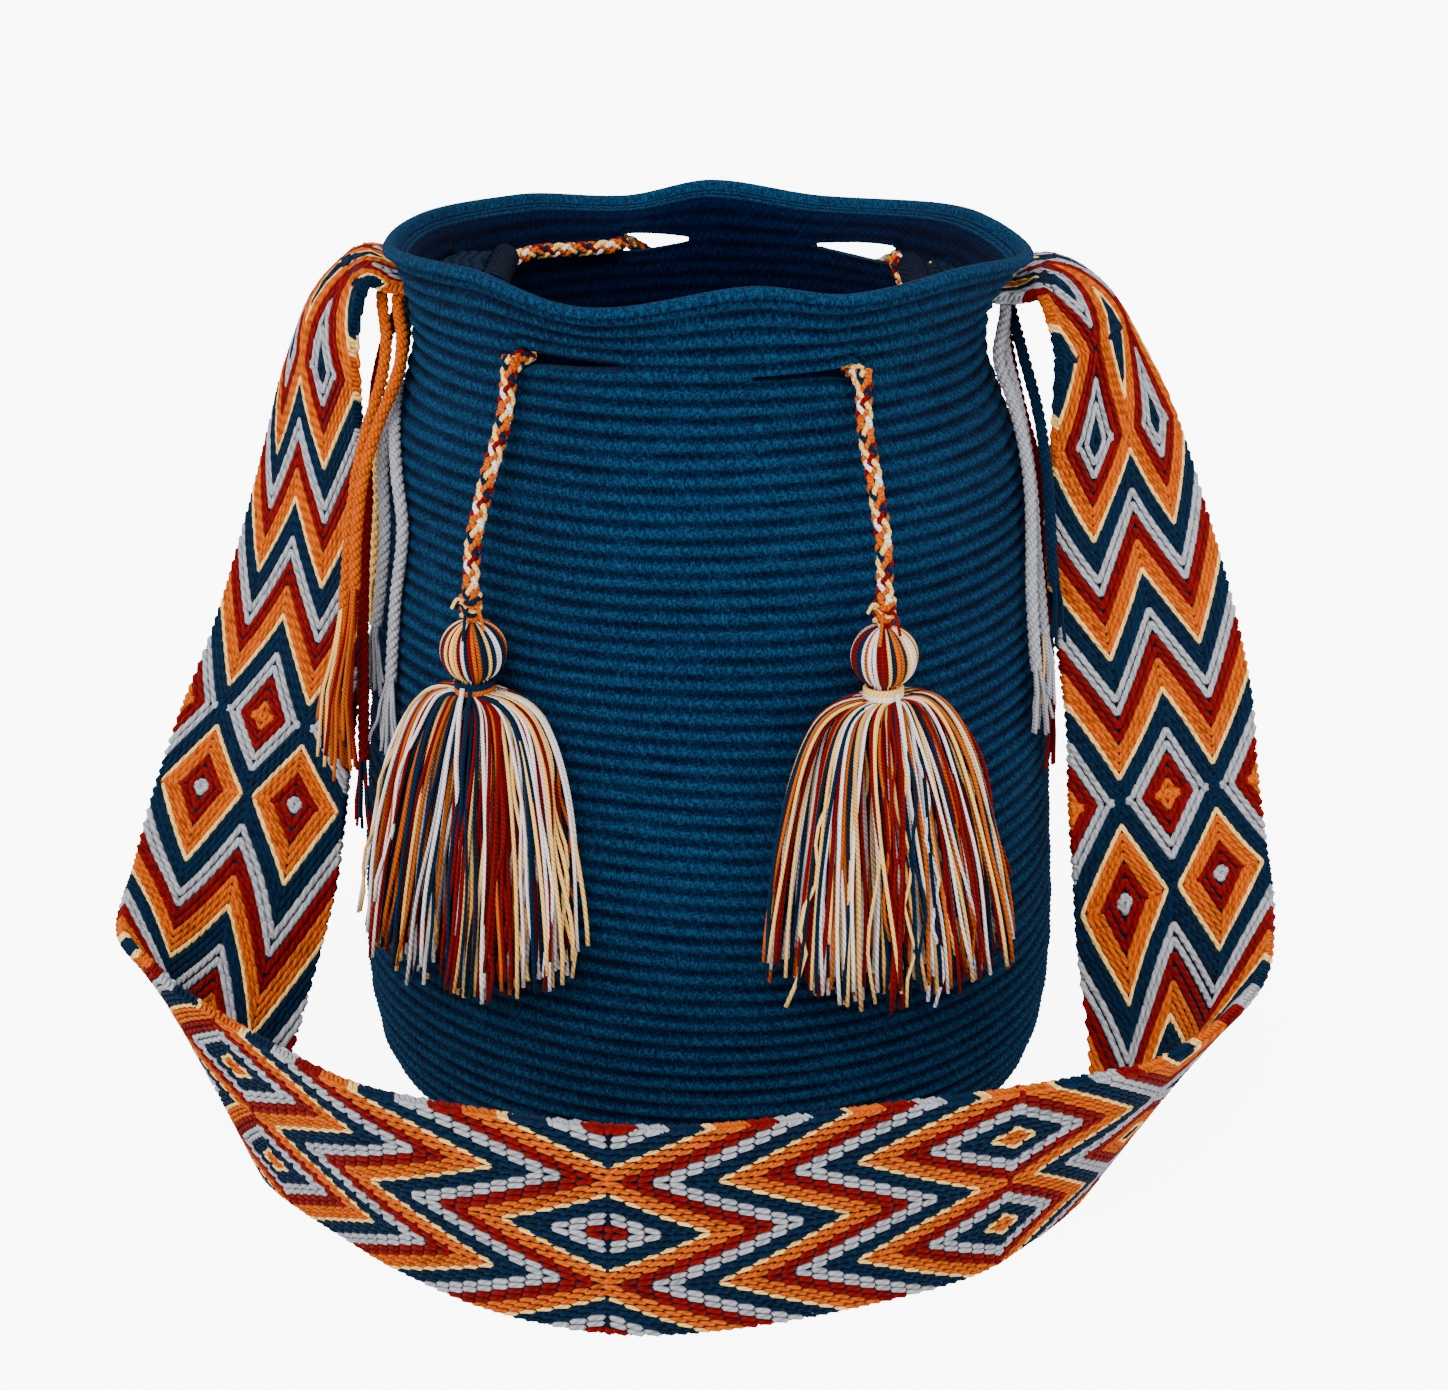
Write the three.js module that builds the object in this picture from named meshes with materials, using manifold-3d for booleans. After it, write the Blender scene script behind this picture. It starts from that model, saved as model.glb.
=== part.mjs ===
// Crocheted bucket bag with a woven shoulder strap, a drawstring with two tassels and fringed strap ends.
// Millimetres, +Z up. The origin is the centre of the base on the floor, and the front faces -Y.
import * as THREE from 'three';
import { mergeVertices } from 'three/addons/utils/BufferGeometryUtils.js';
import Module from 'manifold-3d';

const wasm = await Module();
wasm.setup();

// Driving dimensions of the crocheted body
const BAG_HEIGHT = 318;
const BASE_RADIUS = 129;
const BELLY_RADIUS = 136.8;
const BELLY_HEIGHT = 40;
const NECK_RADIUS = 105;
const NECK_BELOW_RIM = 33;
const RIM_RADIUS = 117;
const WALL = 5;
const BASE_THICKNESS = 6;
const ROW_PITCH = 5.8;
const ROW_RELIEF = 1.6;
const WALL_SEGMENTS = 36;
const INNER_RINGS = 12;
const SHOULDER_SWELL = 11.5;
const SHOULDER_RISE = 170;
const SHOULDER_FALL = 50;
const SWAY = 3;
const SWAY_RISE = 105;

// Driving dimensions of the drawstring, its slots and its tassels
const CORD_DIAMETER = 7;
const FIT_GAP = 0.3;
const STRAP_HOLE_GAP = 0.6;
const CORD_CLEARANCE = 0.7;
const CORD_SLACK = 1.3;
const FRONT_SLOT_BELOW_RIM = { left: 25.5, right: 29 };
const BACK_SLOT_BELOW_RIM = 21;
const SLOT_END_HEIGHT = 9.4;
const FRONT_SLIT_HEIGHT = 3;
const LEG_LENGTH = { left: 79, right: 74 };
const KNOT_DIAMETER = 11;
const KNOT_HEIGHT = 8;
const HEAD_DIAMETER = 23;
const HEAD_NECK_DIAMETER = 10;
const HEAD_NECK_LENGTH = 3.2;
const BINDING_DIAMETER = 14.5;
const BINDING_HEIGHT = 4;
const SKIRT_LENGTH = 102;
const SKIRT_TOP_WIDTH = 15;
const SKIRT_WIDTH = 102;
const SKIRT_DEPTH = 27;
const SKIRT_BELL = 0.35;
const SKIRT_LOBES = 14;
const SKIRT_LOBE_SHARE = 0.12;

// Driving dimensions of the strap and its fringe
const STRAP_WIDTH = 77;
const STRAP_THICKNESS = 4.6;
const STRAP_END_WIDTH = 60;
const STRAP_END_BACKSET = 16;
const STRAP_TUCK = 21;
const STRAP_BELOW_RIM = { left: 17, right: 20.5 };
const HEM_DIAMETER = 11;
const FRINGE_DIAMETER = 5.4;

// The rim is slightly ruffled: bearing in degrees, rise and flare in millimetres
const RIM_RUFFLE = [
  [-180, 0, -2], [-134, 4, -3], [-108, -3, 2], [-80, 3.5, -4], [-64, 0, 1], [-40, 2, -1], [0, -3.5, 5],
  [25, 1, 0], [65, -3.5, 2], [88, 2, -3], [106, -4.5, 2], [130, 0, 0], [155, 1, -1],
];
const RUFFLE_DEPTH = 26;

const DEG = Math.PI / 180;
const neckHeight = BAG_HEIGHT - NECK_BELOW_RIM;
const frontSlotZ = {
  left: BAG_HEIGHT - FRONT_SLOT_BELOW_RIM.left,
  right: BAG_HEIGHT - FRONT_SLOT_BELOW_RIM.right,
};
const backSlotZ = BAG_HEIGHT - BACK_SLOT_BELOW_RIM;
const strapZ = {
  left: BAG_HEIGHT - STRAP_BELOW_RIM.left,
  right: BAG_HEIGHT - STRAP_BELOW_RIM.right,
};

// Shape of the wall

const smooth = (t) => {
  const c = Math.min(Math.max(t, 0), 1);
  return c * c * (3 - 2 * c);
};

// Mean outer radius of the wall at a height: round base corner, belly, neck, flared rim
function wallRadius(z) {
  if (z < BELLY_HEIGHT) {
    const down = 1 - Math.max(z, 0) / BELLY_HEIGHT;
    return BASE_RADIUS + (BELLY_RADIUS - BASE_RADIUS) * Math.sqrt(1 - down * down);
  }
  if (z < neckHeight) {
    const taper = smooth(Math.pow((z - BELLY_HEIGHT) / (neckHeight - BELLY_HEIGHT), 0.9));
    return BELLY_RADIUS + (NECK_RADIUS - BELLY_RADIUS) * taper;
  }
  const flare = (z - neckHeight) / NECK_BELOW_RIM;
  return NECK_RADIUS + (RIM_RADIUS - NECK_RADIUS) * flare * flare;
}

// Ruffle of the rim at a bearing, eased between the listed bearings
function ruffle(bearing) {
  const turn = ((bearing + 180) % 360 + 360) % 360 - 180;
  let k = RIM_RUFFLE.length - 1;
  while (RIM_RUFFLE[k][0] > turn) k -= 1;
  const from = RIM_RUFFLE[k];
  const next = RIM_RUFFLE[(k + 1) % RIM_RUFFLE.length];
  const span = (next[0] - from[0] + 360) % 360;
  const t = smooth((turn - from[0]) / span);
  return { rise: from[1] + (next[1] - from[1]) * t, flare: from[2] + (next[2] - from[2]) * t };
}

// The strap spreads the shoulder at both sides, and the neck leans a little to the left
function shoulderSwell(bearing, z) {
  const share = smooth((z - BELLY_HEIGHT) / SHOULDER_RISE) * smooth((neckHeight - z) / SHOULDER_FALL);
  return SHOULDER_SWELL * Math.cos(bearing * DEG) ** 2 * share;
}

// A point off the wall: bearing in degrees, distance outwards from the mean wall, height
function offWall(bearing, out, z) {
  const share = smooth((z - (BAG_HEIGHT - RUFFLE_DEPTH)) / RUFFLE_DEPTH);
  const wave = ruffle(bearing);
  const r = wallRadius(z) + out + wave.flare * share + shoulderSwell(bearing, z);
  const sway = -SWAY * smooth((z - neckHeight) / SWAY_RISE + 1);
  return new THREE.Vector3(
    r * Math.cos(bearing * DEG) + sway,
    r * Math.sin(bearing * DEG),
    z + wave.rise * share,
  );
}

// Geometry helpers

function bareGeometry(geometry) {
  geometry.deleteAttribute('normal');
  geometry.deleteAttribute('uv');
  return mergeVertices(geometry, 1e-4);
}

function toManifold(geometry) {
  const bare = bareGeometry(geometry.clone());
  return new wasm.Manifold(new wasm.Mesh({
    numProp: 3,
    vertProperties: Float32Array.from(bare.attributes.position.array),
    triVerts: Uint32Array.from(bare.index.array),
  }));
}

function fromManifold(solid) {
  const mesh = solid.getMesh();
  const geometry = new THREE.BufferGeometry();
  geometry.setAttribute('position', new THREE.BufferAttribute(mesh.vertProperties, 3));
  geometry.setIndex(new THREE.BufferAttribute(mesh.triVerts, 1));
  return geometry;
}

// A closed solid through a row of loops, each with the same number of points
function loft(loops) {
  const points = loops.flat();
  const count = loops[0].length;
  const index = [];
  for (let i = 0; i + 1 < loops.length; i += 1) {
    for (let j = 0; j < count; j += 1) {
      const a = i * count + j;
      const b = i * count + (j + 1) % count;
      index.push(a, b, b + count, a, b + count, a + count);
    }
  }
  const middle = (loop) => loop.reduce((sum, p) => sum.add(p), new THREE.Vector3()).divideScalar(count);
  const start = points.length;
  const last = (loops.length - 1) * count;
  points.push(middle(loops[0]), middle(loops[loops.length - 1]));
  for (let j = 0; j < count; j += 1) {
    const k = (j + 1) % count;
    index.push(start, k, j, start + 1, last + j, last + k);
  }
  let volume = 0;
  for (let t = 0; t < index.length; t += 3) {
    const [a, b, c] = [points[index[t]], points[index[t + 1]], points[index[t + 2]]];
    volume += a.dot(b.clone().cross(c));
  }
  const geometry = new THREE.BufferGeometry().setFromPoints(points);
  geometry.setIndex(volume < 0 ? index.reverse() : index);
  return geometry;
}

// A round cord along a smooth route
function cordGeometry(route, diameter, steps) {
  const sides = diameter < 4 ? 8 : 10;
  const section = new THREE.Shape();
  for (let k = 0; k < sides; k += 1) {
    const turn = 2 * Math.PI * k / sides;
    const at = [diameter / 2 * Math.cos(turn), diameter / 2 * Math.sin(turn)];
    if (k === 0) section.moveTo(...at);
    else section.lineTo(...at);
  }
  const extrudePath = new THREE.CatmullRomCurve3(route);
  return new THREE.ExtrudeGeometry(section, { extrudePath, steps, curveSegments: 1 });
}

const group = new THREE.Group();

function addPiece(parent, name, geometry, color) {
  const material = new THREE.MeshStandardMaterial({ color, roughness: 0.9, metalness: 0 });
  const mesh = new THREE.Mesh(geometry, material);
  mesh.name = name;
  parent.add(mesh);
  return mesh;
}

const NAVY = '#0d3a5c';
const ORANGE = '#d9771a';
const RED = '#9c1515';
const CREAM = '#f0d9a0';
const GREY = '#b3b4c0';

// Slots in the wall: the cord lies in one end, and the slot narrows to its far height

function slotCutter(cordBearing, farBearing, z, farHeight) {
  const middle = (cordBearing + farBearing) / 2;
  const reach = wallRadius(z);
  const half = reach * Math.sin(Math.abs(farBearing - cordBearing) / 2 * DEG) + CORD_DIAMETER / 2;
  const towardsCord = Math.sign(cordBearing - farBearing);
  const endRadius = SLOT_END_HEIGHT / 2;
  const shape = new THREE.Shape();
  shape.moveTo(-half, -farHeight / 2);
  shape.lineTo(half, -endRadius);
  shape.absarc(half, 0, endRadius, -Math.PI / 2, Math.PI / 2, false);
  shape.lineTo(-half, farHeight / 2);
  shape.closePath();
  const depth = 6 * WALL;
  const cutter = new THREE.ExtrudeGeometry(shape, { depth, bevelEnabled: false, curveSegments: 6 });
  const tangent = new THREE.Vector3(-Math.sin(middle * DEG), Math.cos(middle * DEG), 0);
  tangent.multiplyScalar(towardsCord);
  const up = new THREE.Vector3(0, 0, 1);
  const through = tangent.clone().cross(up);
  cutter.applyMatrix4(new THREE.Matrix4().makeBasis(tangent, up, through));
  const centre = offWall(middle, 0, z);
  const outwards = new THREE.Vector3(Math.cos(middle * DEG), Math.sin(middle * DEG), 0);
  const back = through.dot(outwards) > 0 ? -1 : 1;
  const sagitta = reach * (1 - Math.cos(Math.abs(farBearing - cordBearing) / 2 * DEG));
  const seat = centre.addScaledVector(outwards, back * depth / 2 - sagitta / 2);
  cutter.translate(seat.x, seat.y, z);
  return cutter;
}

const CORD_BEARINGS = { frontLeft: -124.2, frontRight: -59.8, backLeft: 108.5, backRight: 41 };
const FAR_BEARINGS = { frontLeft: -103.5, frontRight: -79.5, backLeft: 93, backRight: 63 };
const SLOT_HEIGHTS = {
  frontLeft: frontSlotZ.left, frontRight: frontSlotZ.right, backLeft: backSlotZ, backRight: backSlotZ,
};
const SLOTS = Object.keys(CORD_BEARINGS).map((slot) => {
  const front = slot.startsWith('front');
  return [
    CORD_BEARINGS[slot],
    FAR_BEARINGS[slot],
    SLOT_HEIGHTS[slot],
    front ? FRONT_SLIT_HEIGHT : SLOT_END_HEIGHT,
  ];
});

function strapHoleCutter(side, z) {
  const depth = 8 * WALL;
  const hole = new THREE.BoxGeometry(
    depth,
    STRAP_END_WIDTH + 2 * STRAP_HOLE_GAP,
    STRAP_THICKNESS + 2 * STRAP_HOLE_GAP,
  );
  hole.translate(side * NECK_RADIUS, STRAP_END_BACKSET, z);
  return hole;
}

// Crocheted body: rows of ridges outside, plain inside, open at the top

function bodyGeometry() {
  const profile = [new THREE.Vector2(0, 0), new THREE.Vector2(BASE_RADIUS, 0)];
  const rows = Math.round(BAG_HEIGHT / ROW_PITCH);
  const pitch = BAG_HEIGHT / rows;
  const relief = ROW_RELIEF / 2;
  for (let row = 0; row < rows; row += 1) {
    const ridge = (row + 0.5) * pitch;
    const groove = (row + 1) * pitch;
    profile.push(new THREE.Vector2(wallRadius(ridge) + relief, ridge));
    if (row + 1 < rows) profile.push(new THREE.Vector2(wallRadius(groove) - relief, groove));
  }
  const lip = BAG_HEIGHT - pitch / 2;
  profile.push(new THREE.Vector2(RIM_RADIUS - WALL / 2, BAG_HEIGHT));
  for (let k = 0; k <= INNER_RINGS; k += 1) {
    const z = lip + (BASE_THICKNESS - lip) * smooth(k / INNER_RINGS);
    profile.push(new THREE.Vector2(wallRadius(z) - WALL, z));
  }
  profile.push(new THREE.Vector2(0, BASE_THICKNESS));
  const shell = bareGeometry(new THREE.LatheGeometry(profile, WALL_SEGMENTS));
  const position = shell.attributes.position;
  for (let i = 0; i < position.count; i += 1) {
    const [x, z, y] = [position.getX(i), position.getY(i), -position.getZ(i)];
    const bearing = Math.atan2(y, x) / DEG;
    const r = Math.hypot(x, y);
    const at = r < 1e-6 ? new THREE.Vector3(0, 0, z) : offWall(bearing, r - wallRadius(z), z);
    position.setXYZ(i, at.x, at.y, at.z);
  }
  let solid = toManifold(shell);
  for (const slot of SLOTS) solid = solid.subtract(toManifold(slotCutter(...slot)));
  solid = solid.subtract(toManifold(strapHoleCutter(-1, strapZ.left)));
  solid = solid.subtract(toManifold(strapHoleCutter(1, strapZ.right)));
  return fromManifold(solid);
}

addPiece(group, 'body', bodyGeometry(), NAVY);

// Drawstring: bearing, distance out from the wall and height of each point of its route.
// It leaves the front slots, runs inside the neck and crosses outside at the back between its two slots.

const inside = -(WALL + CORD_CLEARANCE + CORD_DIAMETER / 2 + CORD_SLACK);
const outside = ROW_RELIEF / 2 + CORD_CLEARANCE + CORD_DIAMETER / 2;
const runEnd = outside - CORD_DIAMETER / 2 - FIT_GAP;
const DRAWSTRING_ROUTE = [
  [CORD_BEARINGS.frontLeft, runEnd, frontSlotZ.left], [CORD_BEARINGS.frontLeft - 0.4, -5, frontSlotZ.left],
  [-128, inside, frontSlotZ.left], [-135, inside, frontSlotZ.left], [-151, inside, frontSlotZ.left + 1],
  [-168, inside, frontSlotZ.left + 1], [176, inside, frontSlotZ.left + 1], [161, inside, frontSlotZ.left + 1],
  [149, inside, frontSlotZ.left + 2], [135, inside, backSlotZ + 1], [119, inside, backSlotZ],
  [111.5, inside + 1, backSlotZ], [CORD_BEARINGS.backLeft, -3, backSlotZ], [106, outside, backSlotZ - 1],
  [99.5, outside + 1, backSlotZ - 9], [91, outside + 1, backSlotZ - 16], [81, outside + 1, backSlotZ - 20],
  [71, outside + 1, backSlotZ - 20], [61, outside + 1, backSlotZ - 16], [51, outside + 1, backSlotZ - 8],
  [44, outside, backSlotZ - 1], [CORD_BEARINGS.backRight, -3, backSlotZ], [37.5, inside + 1, backSlotZ - 1.4],
  [32.5, inside, backSlotZ - 8], [23, inside, backSlotZ - 12], [8, inside, backSlotZ - 12],
  [-8, inside, frontSlotZ.right - 2], [-26, inside, frontSlotZ.right - 2],
  [-44, inside, frontSlotZ.right - 1], [-56.5, inside + 1, frontSlotZ.right],
  [CORD_BEARINGS.frontRight + 0.4, -5, frontSlotZ.right],
  [CORD_BEARINGS.frontRight, runEnd, frontSlotZ.right],
].map((at) => offWall(...at));
addPiece(group, 'drawstring', cordGeometry(DRAWSTRING_ROUTE, CORD_DIAMETER, 44), ORANGE);

// Tassels: a hanging leg of the drawstring, its knot, a wrapped head, a binding and a skirt of strands

function lathed(points, segments) {
  const geometry = new THREE.LatheGeometry(points.map(([r, z]) => new THREE.Vector2(r, z)), segments);
  return bareGeometry(geometry.rotateX(Math.PI / 2));
}

function ballProfile(diameter, height, topZ, stubRadius, stubLength) {
  const profile = [];
  const steps = 8;
  const turnEnd = stubRadius > 0 ? Math.PI - Math.asin(2 * stubRadius / diameter) : Math.PI;
  for (let k = 0; k <= steps; k += 1) {
    const turn = turnEnd * k / steps;
    profile.push([diameter / 2 * Math.sin(turn), topZ - height / 2 + height / 2 * Math.cos(turn)]);
  }
  profile[0][0] = 0;
  if (stubRadius > 0) {
    const foot = topZ - height - stubLength;
    profile.push([stubRadius, foot], [0, foot]);
  } else {
    profile[steps][0] = 0;
  }
  return profile.reverse();
}

function makeTassel(side, bearing, lean) {
  const tassel = new THREE.Group();
  group.add(tassel);
  const top = frontSlotZ[side] + CORD_DIAMETER / 4;
  const headBearing = bearing + lean;
  const knotTop = top - LEG_LENGTH[side] - FIT_GAP;
  const knotBottom = knotTop - KNOT_HEIGHT;
  const headTop = knotBottom - FIT_GAP;
  const headBottom = headTop - HEAD_DIAMETER;
  const rest = Math.max(wallRadius(headBottom), wallRadius(headTop)) - wallRadius(headTop);
  const headOut = rest + ROW_RELIEF / 2 + CORD_CLEARANCE + HEAD_DIAMETER / 2;
  const axis = offWall(headBearing, headOut, headTop);

  const hang = [0, 0.25, 0.5, 0.75, 1].map((t) => {
    const z = top - LEG_LENGTH[side] * t;
    const settle = wallRadius(headTop) + headOut - wallRadius(z) - outside;
    return offWall(bearing + lean * t, outside + settle * smooth(t), z);
  });
  addPiece(tassel, `${side}_cord_leg`, cordGeometry(hang, CORD_DIAMETER, 7), ORANGE);
  const knotAxis = hang[hang.length - 1];
  const knot = lathed(ballProfile(KNOT_DIAMETER, KNOT_HEIGHT, knotTop, 0, 0), 12);
  addPiece(tassel, `${side}_tassel_knot`, knot, CREAM).position.set(knotAxis.x, knotAxis.y, 0);
  const stub = HEAD_NECK_DIAMETER / 2;
  const head = lathed(ballProfile(HEAD_DIAMETER, HEAD_DIAMETER, headTop, stub, HEAD_NECK_LENGTH), 16);
  addPiece(tassel, `${side}_tassel_head`, head, CREAM).position.set(axis.x, axis.y, 0);

  const bindingZ = headBottom - HEAD_NECK_LENGTH + BINDING_HEIGHT / 2;
  const bore = stub + FIT_GAP;
  const ring = [];
  for (let k = 0; k <= 8; k += 1) {
    const turn = Math.PI * (k / 8 - 0.5);
    const bulge = (BINDING_DIAMETER / 2 - bore) * Math.cos(turn);
    ring.push([bore + bulge, bindingZ + BINDING_HEIGHT / 2 * Math.sin(turn)]);
  }
  ring.push([...ring[0]]);
  addPiece(tassel, `${side}_tassel_binding`, lathed(ring, 16), CREAM).position.set(axis.x, axis.y, 0);

  const skirtTop = headBottom - HEAD_NECK_LENGTH - FIT_GAP;
  const loops = [];
  const levels = 7;
  for (let level = 0; level <= levels; level += 1) {
    const t = Math.pow(level / levels, 2);
    const z = skirtTop - SKIRT_LENGTH * t;
    const spread = Math.pow(t, SKIRT_BELL);
    const halfWidth = (SKIRT_TOP_WIDTH + (SKIRT_WIDTH - SKIRT_TOP_WIDTH) * spread) / 2;
    const halfDepth = (SKIRT_TOP_WIDTH + (SKIRT_DEPTH - SKIRT_TOP_WIDTH) * spread) / 2;
    const wall = wallRadius(z);
    const onWall = ROW_RELIEF / 2 + CORD_CLEARANCE + halfDepth;
    const underHead = wallRadius(headTop) + headOut - wall;
    const out = Math.max(onWall, underHead * (1 - spread) + onWall * spread);
    const loop = [];
    for (let k = 0; k < 2 * SKIRT_LOBES; k += 1) {
      const turn = Math.PI * k / SKIRT_LOBES;
      const lobe = k % 2 ? 1 : 1 - SKIRT_LOBE_SHARE * spread;
      const along = halfWidth * lobe * Math.cos(turn);
      const across = halfDepth * lobe * Math.sin(turn);
      loop.push(offWall(headBearing + along / (wall + out) / DEG, out + across, z));
    }
    loops.push(loop);
  }
  addPiece(tassel, `${side}_tassel_skirt`, loft(loops), RED);
}

makeTassel('left', CORD_BEARINGS.frontLeft, -2.7);
makeTassel('right', CORD_BEARINGS.frontRight, -2.4);

// Strap: stations along its inner edge, from the left end by the floor in front to the right end.
// Each has a bearing, a distance out from the wall, a height, the way across to the outer edge as shares of
// the strap's width, and how far the middle of the band bows to its outer face. Heights of hanging stations
// are shares of the height of that side's hole.

const LEFT_STATIONS = [
  [-171.8, 15, 1.01, -0.12, 0.82, 0.01, 3], [-171, 21, 0.985, -0.2, 0.86, 0, 7],
  [-170.4, 25, 0.94, -0.31, 0.87, 0, 9], [-168.9, 24.5, 0.885, -0.45, 0.86, -0.03, 7],
  [-168, 23, 0.805, -0.57, 0.82, -0.09, 5], [-166.6, 20.5, 0.7, -0.68, 0.74, -0.09, 3],
  [-163.9, 17, 0.55, -0.82, 0.6, -0.04, 2], [-161, 17, 0.44, -0.92, 0.44, 0.02, 2],
  [-158.3, 18, 0.36, -0.97, 0.25, 0.06, 2], [-155.7, 21, 0.27, -0.96, 0.05, 0.2, 2],
  [-153.4, 34, 0.135, -0.8, -0.11, 0.65, 4], [-150.1, 49, 0.05, -0.66, -0.14, 0.95, 4],
  [-146.9, 60.5, 0.013, -0.53, -0.09, 1.06, 3], [-143.4, 67, 0.006, -0.45, -0.01, 1.07, 1],
  [-139.9, 69.5, 0, -0.4, 0.01, 1.05, 0],
];
const FRONT_STATIONS = [
  [-134.4, 70.5, 0, -0.29, 0.02, 0.97, 0], [-127.5, 72, 0, -0.22, -0.04, 0.97, 0],
  [-119.7, 76.5, 0, -0.1, -0.13, 0.99, 0], [-108, 84.5, 0, 0.02, -0.03, 1, 0],
  [-97.2, 87.5, 0, 0.02, 0.02, 1, 0], [-88.7, 83.5, 0, 0, 0, 1, 0],
  [-76.1, 76.5, 0, -0.02, -0.04, 1, 0], [-64.4, 73, 0, 0, -0.14, 0.99, 0],
  [-57.7, 67, 0, 0.16, -0.21, 0.97, 0],
];
const RIGHT_STATIONS = [
  [8.5, 15, 1.005, 0.12, 0.83, 0.03, 3], [9.1, 20, 0.98, 0.25, 0.85, 0.06, 7],
  [9.7, 24, 0.94, 0.38, 0.83, 0.06, 9], [10.7, 24, 0.88, 0.53, 0.81, 0.06, 7],
  [11.2, 22.5, 0.825, 0.68, 0.72, 0, 5], [13.6, 18, 0.707, 0.85, 0.52, 0.01, 3],
  [16.2, 18.5, 0.592, 0.92, 0.41, 0.03, 2], [19.3, 19.5, 0.478, 0.95, 0.34, 0.05, 2],
  [22, 18, 0.384, 0.96, 0.25, 0.05, 2], [24.5, 18.5, 0.296, 0.96, 0.16, 0.13, 2],
  [26.7, 20.5, 0.195, 0.92, 0, 0.39, 3], [30, 28.5, 0.115, 0.83, -0.1, 0.6, 4],
  [33.3, 36, 0.046, 0.75, -0.16, 0.8, 4], [36.6, 44, 0.013, 0.65, -0.16, 0.88, 3],
  [40.9, 51, 0.006, 0.56, -0.14, 0.88, 1], [45.8, 57, 0, 0.46, -0.14, 0.88, 0],
  [52, 62.5, 0, 0.34, -0.2, 0.92, 0],
];

function strapStations() {
  const wayIn = (side, z) => [-STRAP_TUCK, -WALL, 2 * WALL].map((out) => ({
    inner: new THREE.Vector3(side * (NECK_RADIUS + out), STRAP_END_BACKSET - STRAP_END_WIDTH / 2, z),
    outer: new THREE.Vector3(side * (NECK_RADIUS + out), STRAP_END_BACKSET + STRAP_END_WIDTH / 2, z),
    bow: 0,
  }));
  const place = (z) => ([bearing, out, share, dx, dy, dz, bow]) => {
    const height = share * z;
    const r = height < BELLY_HEIGHT ? BELLY_RADIUS : wallRadius(height);
    const inner = new THREE.Vector3(
      (r + out) * Math.cos(bearing * DEG),
      (r + out) * Math.sin(bearing * DEG),
      height,
    );
    const outer = inner.clone().addScaledVector(new THREE.Vector3(dx, dy, dz), STRAP_WIDTH);
    return { inner, outer, bow };
  };
  const mirrorBearing = ([bearing, ...rest]) => [-bearing, ...rest];
  const right = [...wayIn(1, strapZ.right), ...RIGHT_STATIONS.map(mirrorBearing).map(place(strapZ.right))];
  return [
    ...wayIn(-1, strapZ.left), ...LEFT_STATIONS.map(place(strapZ.left)),
    ...FRONT_STATIONS.map(place(strapZ.left)), ...right.reverse(),
  ];
}

function strapGeometry() {
  const stations = strapStations();
  const across = 6;
  const perStation = 2;
  const innerEdge = new THREE.CatmullRomCurve3(stations.map((s) => s.inner));
  const outerEdge = new THREE.CatmullRomCurve3(stations.map((s) => s.outer));
  const bowEdge = new THREE.CatmullRomCurve3(stations.map((s) => new THREE.Vector3(s.bow, 0, 0)));
  const count = (stations.length - 1) * perStation;
  const middle = (i, j) => {
    const t = i / count;
    const f = j / across;
    const chord = innerEdge.getPoint(t).lerp(outerEdge.getPoint(t), f);
    const step = 0.25 / count;
    const [before, after] = [Math.max(t - step, 0), Math.min(t + step, 1)];
    const mid = (u) => innerEdge.getPoint(u).lerp(outerEdge.getPoint(u), f);
    const along = mid(after).sub(mid(before));
    const over = outerEdge.getPoint(t).sub(innerEdge.getPoint(t));
    const normal = over.cross(along).normalize();
    const bow = bowEdge.getPoint(t).x * 4 * f * (1 - f);
    return { at: chord.addScaledVector(normal, bow), normal };
  };
  const loops = [];
  for (let i = 0; i <= count; i += 1) {
    const faces = { front: [], back: [] };
    for (let j = 0; j <= across; j += 1) {
      const { at, normal } = middle(i, j);
      const half = STRAP_THICKNESS / 2;
      faces.front.push(at.clone().addScaledVector(normal, half));
      faces.back.push(at.clone().addScaledVector(normal, -half));
    }
    const loop = [...faces.front, ...faces.back.reverse()];
    for (const point of loop) point.z = Math.max(point.z, 0);
    loops.push(loop);
  }
  return loft(loops);
}

addPiece(group, 'strap', strapGeometry(), ORANGE);

// Hem rolls inside the wall keep the strap's ends from pulling out

for (const [side, sign] of [['left', -1], ['right', 1]]) {
  const roll = new THREE.CylinderGeometry(HEM_DIAMETER / 2, HEM_DIAMETER / 2, STRAP_END_WIDTH, 12);
  const x = sign * (NECK_RADIUS - STRAP_TUCK - FIT_GAP - HEM_DIAMETER / 2);
  const hem = addPiece(group, `${side}_strap_hem`, bareGeometry(roll), RED);
  hem.position.set(x, STRAP_END_BACKSET, strapZ[side]);
}

// Fringe: the strap's own yarns left long at each end, as twisted cords.
// Each point of a route is its place across and along the bag and its drop below the strap's hole.

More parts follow.
